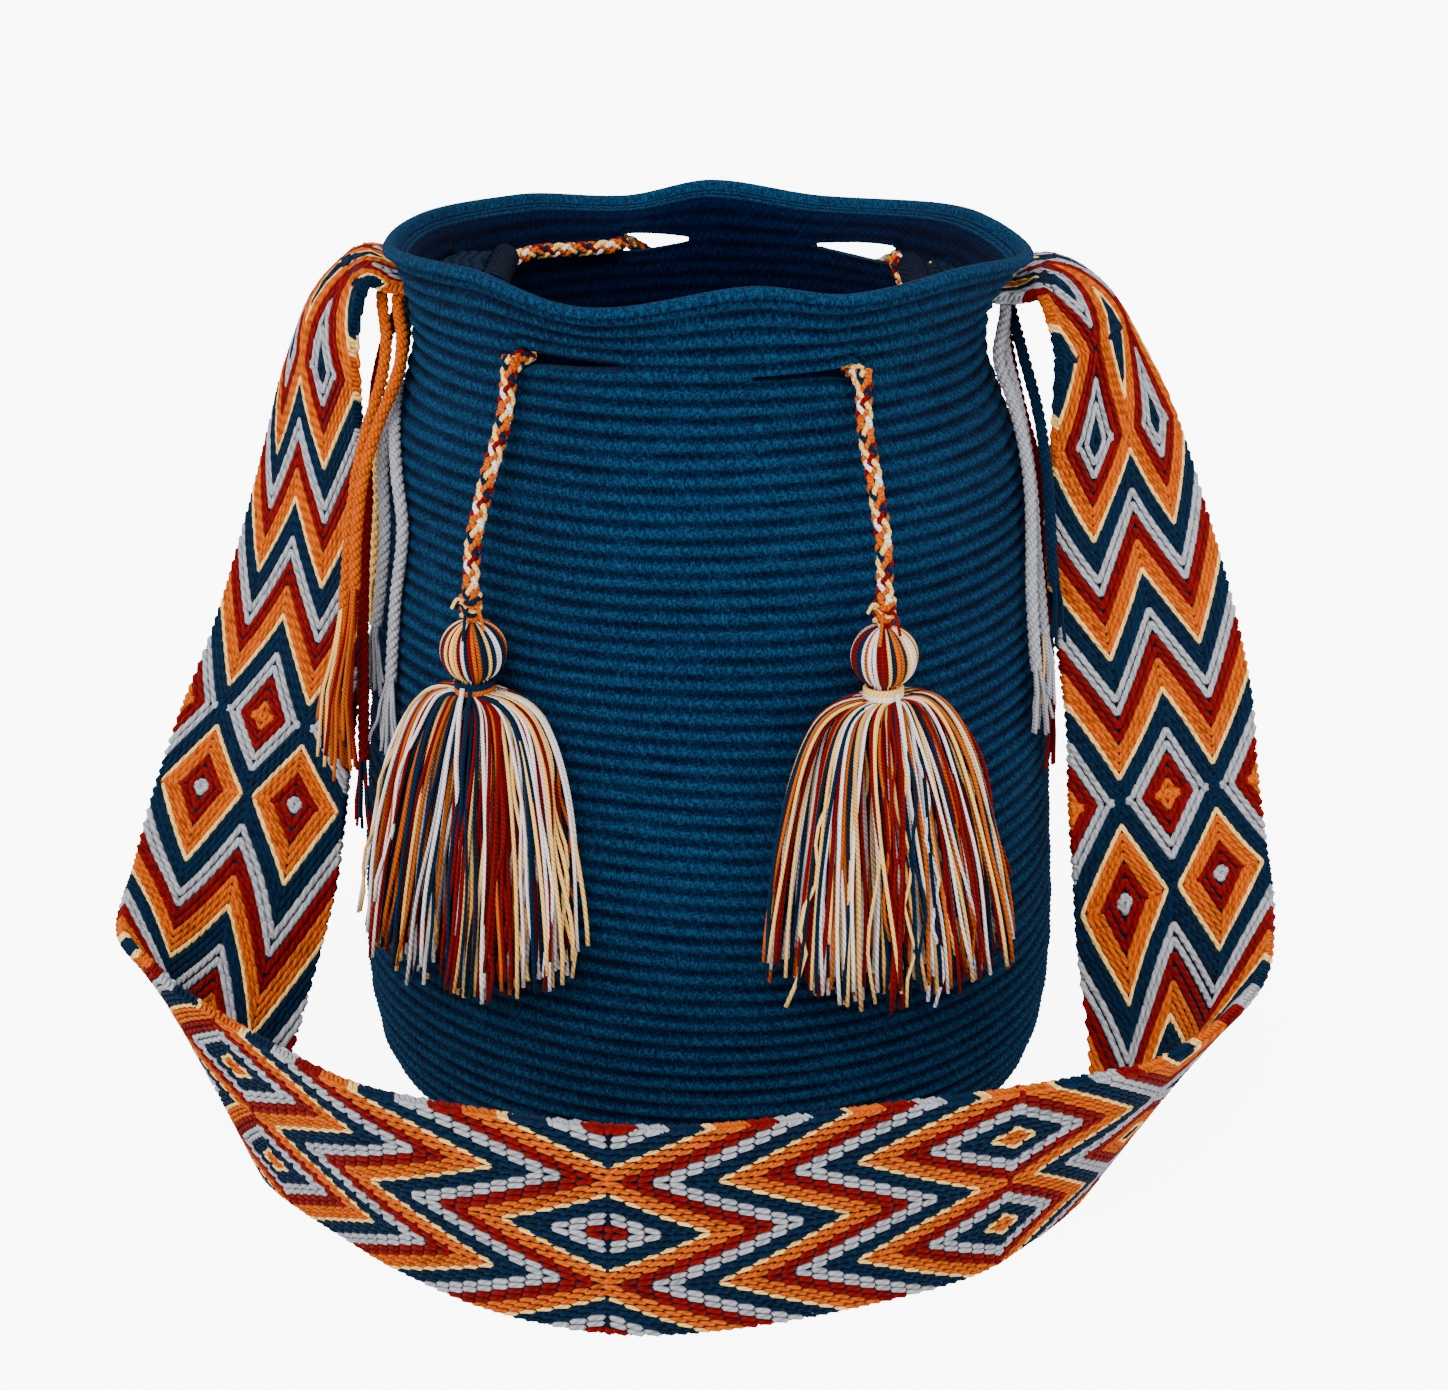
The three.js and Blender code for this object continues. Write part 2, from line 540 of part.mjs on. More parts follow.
const FRINGE = [
  ['left_fringe_orange_front', ORANGE, [
    [-113, -12, 3], [-113, -12, 7], [-110.5, -23, 17], [-112, -33.5, 29], [-117.5, -45, 42.5],
    [-122, -54, 57], [-125, -58.5, 75.5], [-128, -61.5, 110.5], [-132, -64, 140.5]]],
  ['left_fringe_orange_back', ORANGE, [
    [-119, -9, 2.2], [-119, -9, 7], [-117, -17.5, 18], [-118, -27, 30], [-122, -38.5, 44],
    [-125.5, -47, 59], [-128.5, -52, 78], [-131.5, -55.5, 105], [-134, -57.5, 125], [-136.5, -59, 138]]],
  ['left_fringe_red', RED, [
    [-113, 22, 3], [-113, 22, 7], [-119, 12, 19], [-122.5, -6, 34], [-122.4, -24.4, 45],
    [-123.5, -37, 56], [-123, -44.5, 70], [-124.5, -48.5, 88.5], [-126, -51.5, 114],
    [-127, -54, 140.5], [-128, -57.5, 175.5]]],
  ['left_fringe_cream', CREAM, [
    [-113, 13.5, 3], [-113, 13.5, 7], [-113.5, 3, 26], [-119, -12, 44], [-122, -25, 62],
    [-122, -32, 80], [-124.5, -33.5, 110]]],
  ['left_fringe_grey_front', GREY, [
    [-113, -3.5, 3], [-113, -3.5, 7], [-112, -15, 24], [-113, -33.5, 41], [-111, -51, 59],
    [-109, -57.5, 77], [-113, -57, 105], [-115.5, -60, 132], [-116.5, -61, 145]]],
  ['left_fringe_grey_back', GREY, [
    [-113, 5, 3], [-113, 5, 7], [-113, -5.5, 25], [-116.5, -23, 43], [-118, -36, 61],
    [-117.5, -42.5, 82], [-120, -43, 104], [-123.5, -41.5, 124]]],
  ['right_fringe_grey_front', GREY, [
    [109, -9, 3], [109, -9, 7], [106, -20, 21], [110.5, -27, 34], [114.5, -31.5, 47.5],
    [117.5, -35, 64.5], [118.5, -40, 83.5], [118.5, -47, 100.5], [120, -51, 120.5], [122, -52, 138]]],
  ['right_fringe_grey_back', GREY, [
    [110, -0.5, 3], [110, -0.5, 7], [109.5, -10, 20], [113.5, -16, 36], [117, -21.5, 52],
    [119.5, -27.5, 69], [121, -34, 88], [123, -41, 107], [125.5, -46.5, 127]]],
  ['right_fringe_navy', NAVY, [
    [113, 8.5, 3], [113, 8.5, 7], [116, -4, 20], [121.5, -19, 41], [123.5, -31, 56],
    [125, -36.5, 72], [126, -40.5, 88], [128, -44.5, 106]]],
  ['right_fringe_red', RED, [
    [112, 17.5, 3], [112, 17.5, 7], [112.5, 7, 22], [117.5, -5, 45], [124.5, -12, 69],
    [126, -17, 87], [127, -24, 108.5], [128.5, -31, 134], [129.5, -38, 159.5]]],
];

for (const [name, color, points] of FRINGE) {
  const z = name.startsWith('left') ? strapZ.left : strapZ.right;
  const route = points.map(([x, y, drop]) => new THREE.Vector3(x, y, z - drop));
  addPiece(group, name, cordGeometry(route, FRINGE_DIAMETER, 10), color);
}

export default group;
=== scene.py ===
# Crocheted bucket bag with a plaited strap, a braided drawstring and two tassels, dressed over its frame.
import math

import bmesh
import bpy
import numpy as np
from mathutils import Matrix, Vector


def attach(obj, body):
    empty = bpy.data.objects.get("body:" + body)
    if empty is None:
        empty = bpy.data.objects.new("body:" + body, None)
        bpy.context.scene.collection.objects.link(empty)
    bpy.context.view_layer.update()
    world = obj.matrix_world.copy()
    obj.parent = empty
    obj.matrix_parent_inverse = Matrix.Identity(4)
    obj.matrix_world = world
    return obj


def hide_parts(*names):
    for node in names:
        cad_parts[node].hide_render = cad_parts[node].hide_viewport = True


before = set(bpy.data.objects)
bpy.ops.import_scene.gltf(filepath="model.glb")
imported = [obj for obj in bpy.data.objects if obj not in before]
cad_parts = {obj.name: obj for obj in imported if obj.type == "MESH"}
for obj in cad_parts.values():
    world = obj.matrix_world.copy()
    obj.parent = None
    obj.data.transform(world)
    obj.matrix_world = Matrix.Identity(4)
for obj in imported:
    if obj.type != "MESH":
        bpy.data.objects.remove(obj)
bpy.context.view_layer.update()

bl_info = {
    "name": "Crocheted Bucket Bag",
    "version": (1, 0, 0),
    "blender": (4, 5, 0),
    "location": "3D View > Sidebar > Bag",
    "description": "Builds the crochet, plait, braid and tassels of a bucket bag over its frame",
    "category": "Object",
}

# Lengths in this file are millimetres, and a mesh's points become metres when they are stored
MM = 0.001

# Shape of the crocheted body
BAG_HEIGHT = 318.0
BASE_RADIUS = 129.0
BELLY_RADIUS = 136.8
BELLY_HEIGHT = 40.0
NECK_RADIUS = 105.0
NECK_BELOW_RIM = 33.0
RIM_RADIUS = 117.0
WALL = 5.0
BASE_THICKNESS = 6.0
SHOULDER_SWELL = 11.5
SHOULDER_RISE = 170.0
SHOULDER_FALL = 50.0
SWAY = 3.0
SWAY_RISE = 105.0
RUFFLE_DEPTH = 26.0
NECK_HEIGHT = BAG_HEIGHT - NECK_BELOW_RIM

# The rim is slightly ruffled: bearing in degrees, rise and flare
RIM_RUFFLE = [
    (-180, 0, -2), (-134, 4, -3), (-108, -3, 2), (-80, 3.5, -4), (-64, 0, 1), (-40, 2, -1), (0, -3.5, 5),
    (25, 1, 0), (65, -3.5, 2), (88, 2, -3), (106, -4.5, 2), (130, 0, 0), (155, 1, -1), (180, 0, -2),
]

# Drawstring, its slots and its tassels
CORD_DIAMETER = 7.0
FRONT_SLOT_Z = {"left": BAG_HEIGHT - 25.5, "right": BAG_HEIGHT - 29.0}
BACK_SLOT_Z = BAG_HEIGHT - 21.0
LEG_LENGTH = {"left": 79.0, "right": 74.0}
FIT_GAP = 0.3
KNOT_HEIGHT = 8.0
HEAD_DIAMETER = 23.0
HEAD_NECK_LENGTH = 3.2
SKIRT_LENGTH = 102.0
SKIRT_TOP_WIDTH = 15.0
SKIRT_WIDTH = 102.0
SKIRT_DEPTH = 27.0
SKIRT_BELL = 0.35
CORD_INSIDE = -10.5
CORD_OUTSIDE = 5.0
TASSELS = {"left": (-124.2, -2.7), "right": (-59.8, -2.4)}

# Each slot: bearings of its cord end and far end, its height, and half its opening at even steps along it
SLOTS = [
    (-124.2, -103.5, FRONT_SLOT_Z["left"], (3.4, 2.4, 2.0, 1.6, 1.0)),
    (-59.8, -79.5, FRONT_SLOT_Z["right"], (3.2, 1.5, 1.3, 1.1, 0.8)),
    (108.5, 93.0, BACK_SLOT_Z, (3.8, 3.7, 3.1, 2.1, 0.9)),
    (41.0, 63.0, BACK_SLOT_Z, (3.8, 3.7, 3.1, 2.1, 0.9)),
]

# Strap: stations of its inner edge as bearing, distance out, height share, way across and bow
STRAP_WIDTH = 77.0
STRAP_END_WIDTH = 60.0
STRAP_END_BACKSET = 16.0
STRAP_TUCK = 21.0
STRAP_HOLE_HEIGHT = 5.8
STRAP_Z = {"left": BAG_HEIGHT - 17.0, "right": BAG_HEIGHT - 20.5}
HEM_DIAMETER = 11.0
LEFT_STATIONS = [
    (-171.8, 15, 1.01, -0.12, 0.82, 0.01, 3), (-171, 21, 0.985, -0.2, 0.86, 0, 7),
    (-170.4, 25, 0.94, -0.31, 0.87, 0, 9), (-168.9, 24.5, 0.885, -0.45, 0.86, -0.03, 7),
    (-168, 23, 0.805, -0.57, 0.82, -0.09, 5), (-166.6, 20.5, 0.7, -0.68, 0.74, -0.09, 3),
    (-163.9, 17, 0.55, -0.82, 0.6, -0.04, 2), (-161, 17, 0.44, -0.92, 0.44, 0.02, 2),
    (-158.3, 18, 0.36, -0.97, 0.25, 0.06, 2), (-155.7, 21, 0.27, -0.96, 0.05, 0.2, 2),
    (-153.4, 34, 0.135, -0.8, -0.11, 0.65, 4), (-150.1, 49, 0.05, -0.66, -0.14, 0.95, 4),
    (-146.9, 60.5, 0.013, -0.53, -0.09, 1.06, 3), (-143.4, 67, 0.006, -0.45, -0.01, 1.07, 1),
    (-139.9, 69.5, 0, -0.4, 0.01, 1.05, 0),
]
FRONT_STATIONS = [
    (-134.4, 70.5, 0, -0.29, 0.02, 0.97, 0), (-127.5, 72, 0, -0.22, -0.04, 0.97, 0),
    (-119.7, 76.5, 0, -0.1, -0.13, 0.99, 0), (-108, 84.5, 0, 0.02, -0.03, 1, 0),
    (-97.2, 87.5, 0, 0.02, 0.02, 1, 0), (-88.7, 83.5, 0, 0, 0, 1, 0),
    (-76.1, 76.5, 0, -0.02, -0.04, 1, 0), (-64.4, 73, 0, 0, -0.14, 0.99, 0),
    (-57.7, 67, 0, 0.16, -0.21, 0.97, 0),
]
RIGHT_STATIONS = [
    (8.5, 15, 1.005, 0.12, 0.83, 0.03, 3), (9.1, 20, 0.98, 0.25, 0.85, 0.06, 7),
    (9.7, 24, 0.94, 0.38, 0.83, 0.06, 9), (10.7, 24, 0.88, 0.53, 0.81, 0.06, 7),
    (11.2, 22.5, 0.825, 0.68, 0.72, 0, 5), (13.6, 18, 0.707, 0.85, 0.52, 0.01, 3),
    (16.2, 18.5, 0.592, 0.92, 0.41, 0.03, 2), (19.3, 19.5, 0.478, 0.95, 0.34, 0.05, 2),
    (22, 18, 0.384, 0.96, 0.25, 0.05, 2), (24.5, 18.5, 0.296, 0.96, 0.16, 0.13, 2),
    (26.7, 20.5, 0.195, 0.92, 0, 0.39, 3), (30, 28.5, 0.115, 0.83, -0.1, 0.6, 4),
    (33.3, 36, 0.046, 0.75, -0.16, 0.8, 4), (36.6, 44, 0.013, 0.65, -0.16, 0.88, 3),
    (40.9, 51, 0.006, 0.56, -0.14, 0.88, 1), (45.8, 57, 0, 0.46, -0.14, 0.88, 0),
    (52, 62.5, 0, 0.34, -0.2, 0.92, 0),
]

# Plait: one repeat of colours, as cords in order and the share of the repeat that they take
PLAIT_COLOURS = [
    ("red", 2, 0.215), ("grey", 2, 0.225), ("navy", 3, 0.25), ("cream", 1, 0.07), ("orange", 3, 0.24),
]

# Where the chevrons turn: distance along the strap, repeats counted there, repeats across a quarter of it
PLAIT_TURNS = [
    (0, 3.5, 0.69), (48, 2.45, 0.69), (85, 2.87, 0.69), (223, -0.16, 0.69), (254, 0.64, 0.69),
    (352, -1.44, 0.8), (398, -0.03, 0.944), (549, -2.98, 0.944), (686, -0.03, 0.944), (745, -1.44, 0.8),
    (861, 0.64, 0.69), (897, -0.16, 0.69), (1035, 2.87, 0.69), (1072, 2.45, 0.69), (1141, 3.7, 0.69),
]

# Drawstring's run: bearing, distance out from the wall and height of each point
DRAWSTRING_ROUTE = [
    (-124.2, 4.6, 289.7), (-124.2, 1.2, 292.5), (-124.6, -5, 292.5), (-128, CORD_INSIDE, 292.5),
    (-135, CORD_INSIDE, 292.5), (-151, CORD_INSIDE, 293.5), (-168, CORD_INSIDE, 293.5),
    (176, CORD_INSIDE, 293.5), (161, CORD_INSIDE, 293.5), (149, CORD_INSIDE, 294.5), (135, CORD_INSIDE, 298),
    (119, CORD_INSIDE, 297), (111.5, CORD_INSIDE + 1, 297), (108.5, -3, 297), (106, CORD_OUTSIDE, 296),
    (99.5, CORD_OUTSIDE + 1, 288), (91, CORD_OUTSIDE + 1, 281), (81, CORD_OUTSIDE + 1, 277),
    (71, CORD_OUTSIDE + 1, 277), (61, CORD_OUTSIDE + 1, 281), (51, CORD_OUTSIDE + 1, 289),
    (44, CORD_OUTSIDE, 296), (41, -3, 297), (37.5, CORD_INSIDE + 1, 295.6), (32.5, CORD_INSIDE, 289),
    (23, CORD_INSIDE, 285), (8, CORD_INSIDE, 285), (-8, CORD_INSIDE, 287), (-26, CORD_INSIDE, 287),
    (-44, CORD_INSIDE, 288), (-56.5, CORD_INSIDE + 1, 289), (-59.4, -5, 289), (-59.8, 1.2, 289),
    (-59.8, 4.6, 286.2),
]

# Fringe: colour, and each point's place across and along the bag and its drop below the strap's hole
FRINGE = {
    "left_fringe_orange_front": ("orange", [
        (-113, -12, 3), (-113, -12, 7), (-110.5, -23, 17), (-112, -33.5, 29), (-117.5, -45, 42.5),
        (-122, -54, 57), (-125, -58.5, 75.5), (-128, -61.5, 110.5), (-132, -64, 140.5)]),
    "left_fringe_orange_back": ("orange", [
        (-119, -9, 2.2), (-119, -9, 7), (-117, -17.5, 18), (-118, -27, 30), (-122, -38.5, 44),
        (-125.5, -47, 59), (-128.5, -52, 78), (-131.5, -55.5, 105), (-134, -57.5, 125),
        (-136.5, -59, 138)]),
    "left_fringe_red": ("red", [
        (-113, 22, 3), (-113, 22, 7), (-119, 12, 19), (-122.5, -6, 34), (-122.4, -24.4, 45),
        (-123.5, -37, 56), (-123, -44.5, 70), (-124.5, -48.5, 88.5), (-126, -51.5, 114),
        (-127, -54, 140.5), (-128, -57.5, 175.5)]),
    "left_fringe_cream": ("cream", [
        (-113, 13.5, 3), (-113, 13.5, 7), (-113.5, 3, 26), (-119, -12, 44), (-122, -25, 62),
        (-122, -32, 80), (-124.5, -33.5, 110)]),
    "left_fringe_grey_front": ("grey", [
        (-113, -3.5, 3), (-113, -3.5, 7), (-112, -15, 24), (-113, -33.5, 41), (-111, -51, 59),
        (-109, -57.5, 77), (-113, -57, 105), (-115.5, -60, 132), (-116.5, -61, 145)]),
    "left_fringe_grey_back": ("grey", [
        (-113, 5, 3), (-113, 5, 7), (-113, -5.5, 25), (-116.5, -23, 43), (-118, -36, 61),
        (-117.5, -42.5, 82), (-120, -43, 104), (-123.5, -41.5, 124)]),
    "right_fringe_grey_front": ("grey", [
        (109, -9, 3), (109, -9, 7), (106, -20, 21), (110.5, -27, 34), (114.5, -31.5, 47.5),
        (117.5, -35, 64.5), (118.5, -40, 83.5), (118.5, -47, 100.5), (120, -51, 120.5), (122, -52, 138)]),
    "right_fringe_grey_back": ("grey", [
        (110, -0.5, 3), (110, -0.5, 7), (109.5, -10, 20), (113.5, -16, 36), (117, -21.5, 52),
        (119.5, -27.5, 69), (121, -34, 88), (123, -41, 107), (125.5, -46.5, 127)]),
    "right_fringe_navy": ("navy", [
        (113, 8.5, 3), (113, 8.5, 7), (116, -4, 20), (121.5, -19, 41), (123.5, -31, 56),
        (125, -36.5, 72), (126, -40.5, 88), (128, -44.5, 106)]),
    "right_fringe_red": ("red", [
        (112, 17.5, 3), (112, 17.5, 7), (112.5, 7, 22), (117.5, -5, 45), (124.5, -12, 69),
        (126, -17, 87), (127, -24, 108.5), (128.5, -31, 134), (129.5, -38, 159.5)]),
}

YARNS = ["orange", "red", "cream", "grey", "navy", "white"]

# A stitch: its yarn is twisted less than a tassel's, and its ends are blunt
GRAIN_TWIST = 0.65
GRAIN_SIDES = 5
GRAIN_BANDS = 3
GRAIN_BLUNTNESS = 0.55


# Shape of the wall

def smooth(t):
    c = np.clip(t, 0, 1)
    return c * c * (3 - 2 * c)


def wall_radius(z):
    """Mean outer radius of the wall at each height."""
    z = np.asarray(z, float)
    down = 1 - np.clip(z, 0, BELLY_HEIGHT) / BELLY_HEIGHT
    low = BASE_RADIUS + (BELLY_RADIUS - BASE_RADIUS) * np.sqrt(1 - down * down)
    share = np.clip((z - BELLY_HEIGHT) / (NECK_HEIGHT - BELLY_HEIGHT), 0, 1)
    middle = BELLY_RADIUS + (NECK_RADIUS - BELLY_RADIUS) * smooth(share ** 0.9)
    flare = (z - NECK_HEIGHT) / NECK_BELOW_RIM
    top = NECK_RADIUS + (RIM_RADIUS - NECK_RADIUS) * flare * flare
    return np.where(z < BELLY_HEIGHT, low, np.where(z < NECK_HEIGHT, middle, top))


def ruffle(bearing):
    """Rise and flare of the rim at each bearing in degrees."""
    turn = (np.asarray(bearing, float) + 180) % 360 - 180
    rows = np.array(RIM_RUFFLE, float)
    k = np.clip(np.searchsorted(rows[:, 0], turn, side="right") - 1, 0, len(rows) - 2)
    t = smooth((turn - rows[k, 0]) / (rows[k + 1, 0] - rows[k, 0]))[..., None]
    both = rows[k, 1:] + (rows[k + 1, 1:] - rows[k, 1:]) * t
    return both[..., 0], both[..., 1]


def shoulder_swell(bearing, z):
    """How far the strap spreads the shoulder at both sides."""
    share = smooth((z - BELLY_HEIGHT) / SHOULDER_RISE) * smooth((NECK_HEIGHT - z) / SHOULDER_FALL)
    return SHOULDER_SWELL * np.cos(np.radians(bearing)) ** 2 * share


def off_wall(bearing, out, z):
    """Points at a bearing in degrees, a distance out from the mean wall and a height."""
    bearing, out, z = np.broadcast_arrays(*(np.asarray(v, float) for v in (bearing, out, z)))
    share = smooth((z - (BAG_HEIGHT - RUFFLE_DEPTH)) / RUFFLE_DEPTH)
    rise, flare = ruffle(bearing)
    r = wall_radius(z) + out + flare * share + shoulder_swell(bearing, z)
    sway = -SWAY * smooth((z - NECK_HEIGHT) / SWAY_RISE + 1)
    turn = np.radians(bearing)
    return np.stack([r * np.cos(turn) + sway, r * np.sin(turn), z + rise * share], axis=-1)


# Curves

def spline(points, count):
    """Points along the centripetal curve that the frame's cords and strap edges follow."""
    p = np.asarray(points, float)
    ends = np.vstack([2 * p[0] - p[1], p, 2 * p[-1] - p[-2]])
    place = np.linspace(0, len(p) - 1, count)
    k = np.minimum(place.astype(int), len(p) - 2)
    w = (place - k)[:, None]
    p0, p1, p2, p3 = (ends[k + i] for i in range(4))
    d0, d1, d2 = (
        np.maximum(np.linalg.norm(b - a, axis=1), 1e-8)[:, None] ** 0.5
        for a, b in ((p0, p1), (p1, p2), (p2, p3))
    )
    m1 = ((p1 - p0) / d0 - (p2 - p0) / (d0 + d1) + (p2 - p1) / d1) * d1
    m2 = ((p2 - p1) / d1 - (p3 - p1) / (d1 + d2) + (p3 - p2) / d2) * d1
    bend = (3 * (p2 - p1) - 2 * m1 - m2) * w ** 2
    return p1 + m1 * w + bend + (2 * (p1 - p2) + m1 + m2) * w ** 3


def travelled(path):
    """Distance along each path at each of its points."""
    steps = np.linalg.norm(np.diff(path, axis=-2), axis=-1)
    zero = np.zeros(steps.shape[:-1] + (1,))
    return np.concatenate([zero, np.cumsum(steps, axis=-1)], axis=-1)


def even(path, count):
    """The same path with its points evenly spaced."""
    s = travelled(path)
    at = np.linspace(0, s[-1], count)
    return np.stack([np.interp(at, s, path[:, k]) for k in range(3)], axis=-1)


def unit(v):
    return v / np.maximum(np.linalg.norm(v, axis=-1, keepdims=True), 1e-9)


def carried_frames(paths):
    """Normals and binormals carried along each path without twisting."""
    ahead = unit(np.gradient(paths, axis=1))
    lean = np.where(np.abs(ahead[:, :1, 2:]) < 0.8, np.array([0.0, 0, 1]), np.array([1.0, 0, 0]))
    normals = np.empty_like(paths)
    side = lean[:, 0]
    for k in range(paths.shape[1]):
        way = ahead[:, k]
        side = unit(side - way * np.sum(side * way, axis=-1, keepdims=True))
        normals[:, k] = side
    return normals, np.cross(ahead, normals)


def twisted(path, count, radius, pitch):
    """Centre lines of plies that wind round a path."""
    normal, binormal = (v[0] for v in carried_frames(path[None]))
    turn = 2 * math.pi * travelled(path) / pitch
    lines = []
    for k in range(count):
        angle = (turn + 2 * math.pi * k / count)[:, None]
        lines.append(path + radius * (np.cos(angle) * normal + np.sin(angle) * binormal))
    return np.array(lines)


def braided(path, pairs, radius, wave, pitch):
    """Centre lines of a round braid: half of them wind one way, half the other, over and under."""
    normal, binormal = (v[0] for v in carried_frames(path[None]))
    turn = 2 * math.pi * travelled(path) / pitch
    over = wave * np.cos(pairs * turn)
    lines = []
    for way in (1, -1):
        for k in range(pairs):
            angle = (way * turn + 2 * math.pi * k / pairs)[:, None]
            reach = (radius + way * over)[:, None]
            lines.append(path + reach * (np.cos(angle) * normal + np.sin(angle) * binormal))
    return np.array(lines)


# Meshes

def tube_mesh(sides, rings):
    """A closed unit tube: its length runs from 0 to 1 along z, and its map goes round and along it."""
    bm = bmesh.new()
    layer = bm.loops.layers.uv.new("UVMap")
    bmesh.ops.create_cone(bm, cap_ends=True, segments=sides, radius1=1, radius2=1, depth=1)
    upright = [e for e in bm.edges if abs(e.verts[0].co.z - e.verts[1].co.z) > 0.5]
    bmesh.ops.subdivide_edges(bm, edges=upright, cuts=rings - 1, use_grid_fill=True)
    bmesh.ops.translate(bm, verts=bm.verts, vec=(0, 0, 0.5))
    for face in bm.faces:
        middle = face.calc_center_median()
        for loop in face.loops:
            turn = math.atan2(loop.vert.co.y, loop.vert.co.x) / (2 * math.pi)
            here = math.atan2(middle.y, middle.x) / (2 * math.pi)
            loop[layer].uv = (turn - round(turn - here), loop.vert.co.z)
    mesh = bpy.data.meshes.new("tube")
    bm.to_mesh(mesh)
    bm.free()
    return mesh


def grain_mesh(sides, bands):
    """A closed unit spindle along z, the shape of one stitch."""
    bm = bmesh.new()
    bm.loops.layers.uv.new("UVMap")
    bmesh.ops.create_uvsphere(bm, u_segments=sides, v_segments=bands, radius=1, calc_uvs=True)
    mesh = bpy.data.meshes.new("grain")
    bm.to_mesh(mesh)
    bm.free()
    return mesh


def repeated(template, count):
    """A mesh of copies of a template, one after another, made by doubling."""
    bm = bmesh.new()
    for digit in bin(count)[2:]:
        if bm.verts:
            whole = bpy.data.meshes.new("whole")
            bm.to_mesh(whole)
            bm.from_mesh(whole)
            bpy.data.meshes.remove(whole)
        if digit == "1":
            bm.from_mesh(template)
    mesh = bpy.data.meshes.new("copies")
    bm.to_mesh(mesh)
    bm.free()
    return mesh


def points_of(mesh):
    flat = np.empty(len(mesh.vertices) * 3, np.float32)
    mesh.vertices.foreach_get("co", flat)
    return flat.reshape(-1, 3).astype(float)


def set_points(mesh, points):
    mesh.vertices.foreach_set("co", (np.asarray(points) * MM).astype(np.float32).ravel())
    mesh.update()


def set_shade(mesh, shade):
    """Stores how light the yarn is, from 0 to 1, on each point."""
    layer = mesh.attributes.new("shade", "FLOAT", "POINT")
    layer.data.foreach_set("value", np.asarray(shade, np.float32).ravel())


def stretch_map(mesh, count, lengths):
    """Turns the second map direction of each copy into millimetres along it."""
    uv = np.empty(len(mesh.loops) * 2, np.float32)
    layer = mesh.uv_layers[0].data
    layer.foreach_get("uv", uv)
    uv = uv.reshape(count, -1, 2)
    uv[:, :, 1] *= np.asarray(lengths)[:, None]
    layer.foreach_set("uv", uv.ravel())


def swept(paths, radii, colours, sides=6, shade=None):
    """One mesh of tubes along paths of as many points each. Radii are one for each path or each point."""
    paths = np.asarray(paths, float)
    count, steps = paths.shape[:2]
    template = tube_mesh(sides, steps - 1)
    local = points_of(template)
    mesh = repeated(template, count)
    bpy.data.meshes.remove(template)
    normal, binormal = carried_frames(paths)
    ring = np.rint(local[:, 2] * (steps - 1)).astype(int)
    per_path = np.asarray(radii, float).reshape(count if np.ndim(radii) else 1, -1)
    reach = np.broadcast_to(per_path, (count, steps))[:, ring, None]
    around = local[None, :, :1] * normal[:, ring] + local[None, :, 1:2] * binormal[:, ring]
    points = paths[:, ring] + reach * around
    set_points(mesh, points.reshape(-1, 3))
    stretch_map(mesh, count, travelled(paths)[:, -1])
    per = len(mesh.polygons) // count
    mesh.polygons.foreach_set("material_index", np.repeat(np.asarray(colours, np.int32), per))
    if shade is None:
        shade = np.full(count, 0.5)
    set_shade(mesh, np.repeat(shade, len(local)))
    return mesh


def grains(starts, ends, normals, widths, height, colours, shade):
    """One mesh of stitches, each a spindle from its start to its end lying on a face."""
    count = len(starts)
    template = grain_mesh(GRAIN_SIDES, GRAIN_BANDS)
    local = points_of(template)
    local[:, 2] = np.sign(local[:, 2]) * np.abs(local[:, 2]) ** GRAIN_BLUNTNESS
    mesh = repeated(template, count)
    bpy.data.meshes.remove(template)
    half = (ends - starts) / 2
    way = unit(half)
    side = unit(np.cross(normals, way))
    up = np.cross(way, side)
    across = side[:, None] * local[None, :, :1] * (np.asarray(widths, float) / 2)[:, None, None]
    rise = up[:, None] * local[None, :, 1:2] * height / 2
    points = ((starts + ends) / 2)[:, None] + half[:, None] * local[None, :, 2:] + across + rise
    points[..., 2] = np.maximum(points[..., 2], 0)
    set_points(mesh, points.reshape(-1, 3))
    stretch_map(mesh, count, GRAIN_TWIST * np.linalg.norm(ends - starts, axis=1))
    per = len(mesh.polygons) // count
    mesh.polygons.foreach_set("material_index", np.repeat(np.asarray(colours, np.int32), per))
    set_shade(mesh, np.repeat(shade, len(local)))
    return mesh


def add_piece(name, mesh, materials, body, stands_for=()):
    """A finished piece: smooth faces, materials, its body and the nodes it stands for."""
    mesh.name = name
    mesh.polygons.foreach_set("use_smooth", np.ones(len(mesh.polygons), bool))
    for material in materials:
        mesh.materials.append(material)
    piece = bpy.data.objects.new(name, mesh)
    bpy.context.scene.collection.objects.link(piece)
    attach(piece, body)
    if stands_for:
        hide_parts(*stands_for)
    return piece


# Materials

def linear(text):
    """Linear colour of an sRGB hex value."""
    parts = [int(text[k:k + 2], 16) / 255 for k in (1, 3, 5)]
    bent = [c / 12.92 if c <= 0.04045 else ((c + 0.055) / 1.055) ** 2.4 for c in parts]
    return (*bent, 1.0)


def hex_colour(name, text, description):
    return bpy.props.StringProperty(name=name, default=text, description=description)


def node(tree, kind, inputs=None, **settings):
    """Adds a node, sets it up, and links or sets its inputs."""
    made = tree.nodes.new(kind)
    for name, value in settings.items():
        setattr(made, name, value)
    for name, value in (inputs or {}).items():
        if isinstance(value, bpy.types.NodeSocket):
            tree.links.new(value, made.inputs[name])
        else:
            made.inputs[name].default_value = value
    return made


def fresh_material(name):
    material = bpy.data.materials.new(name)
    material.use_nodes = True
    material.node_tree.nodes.clear()
    return material, material.node_tree


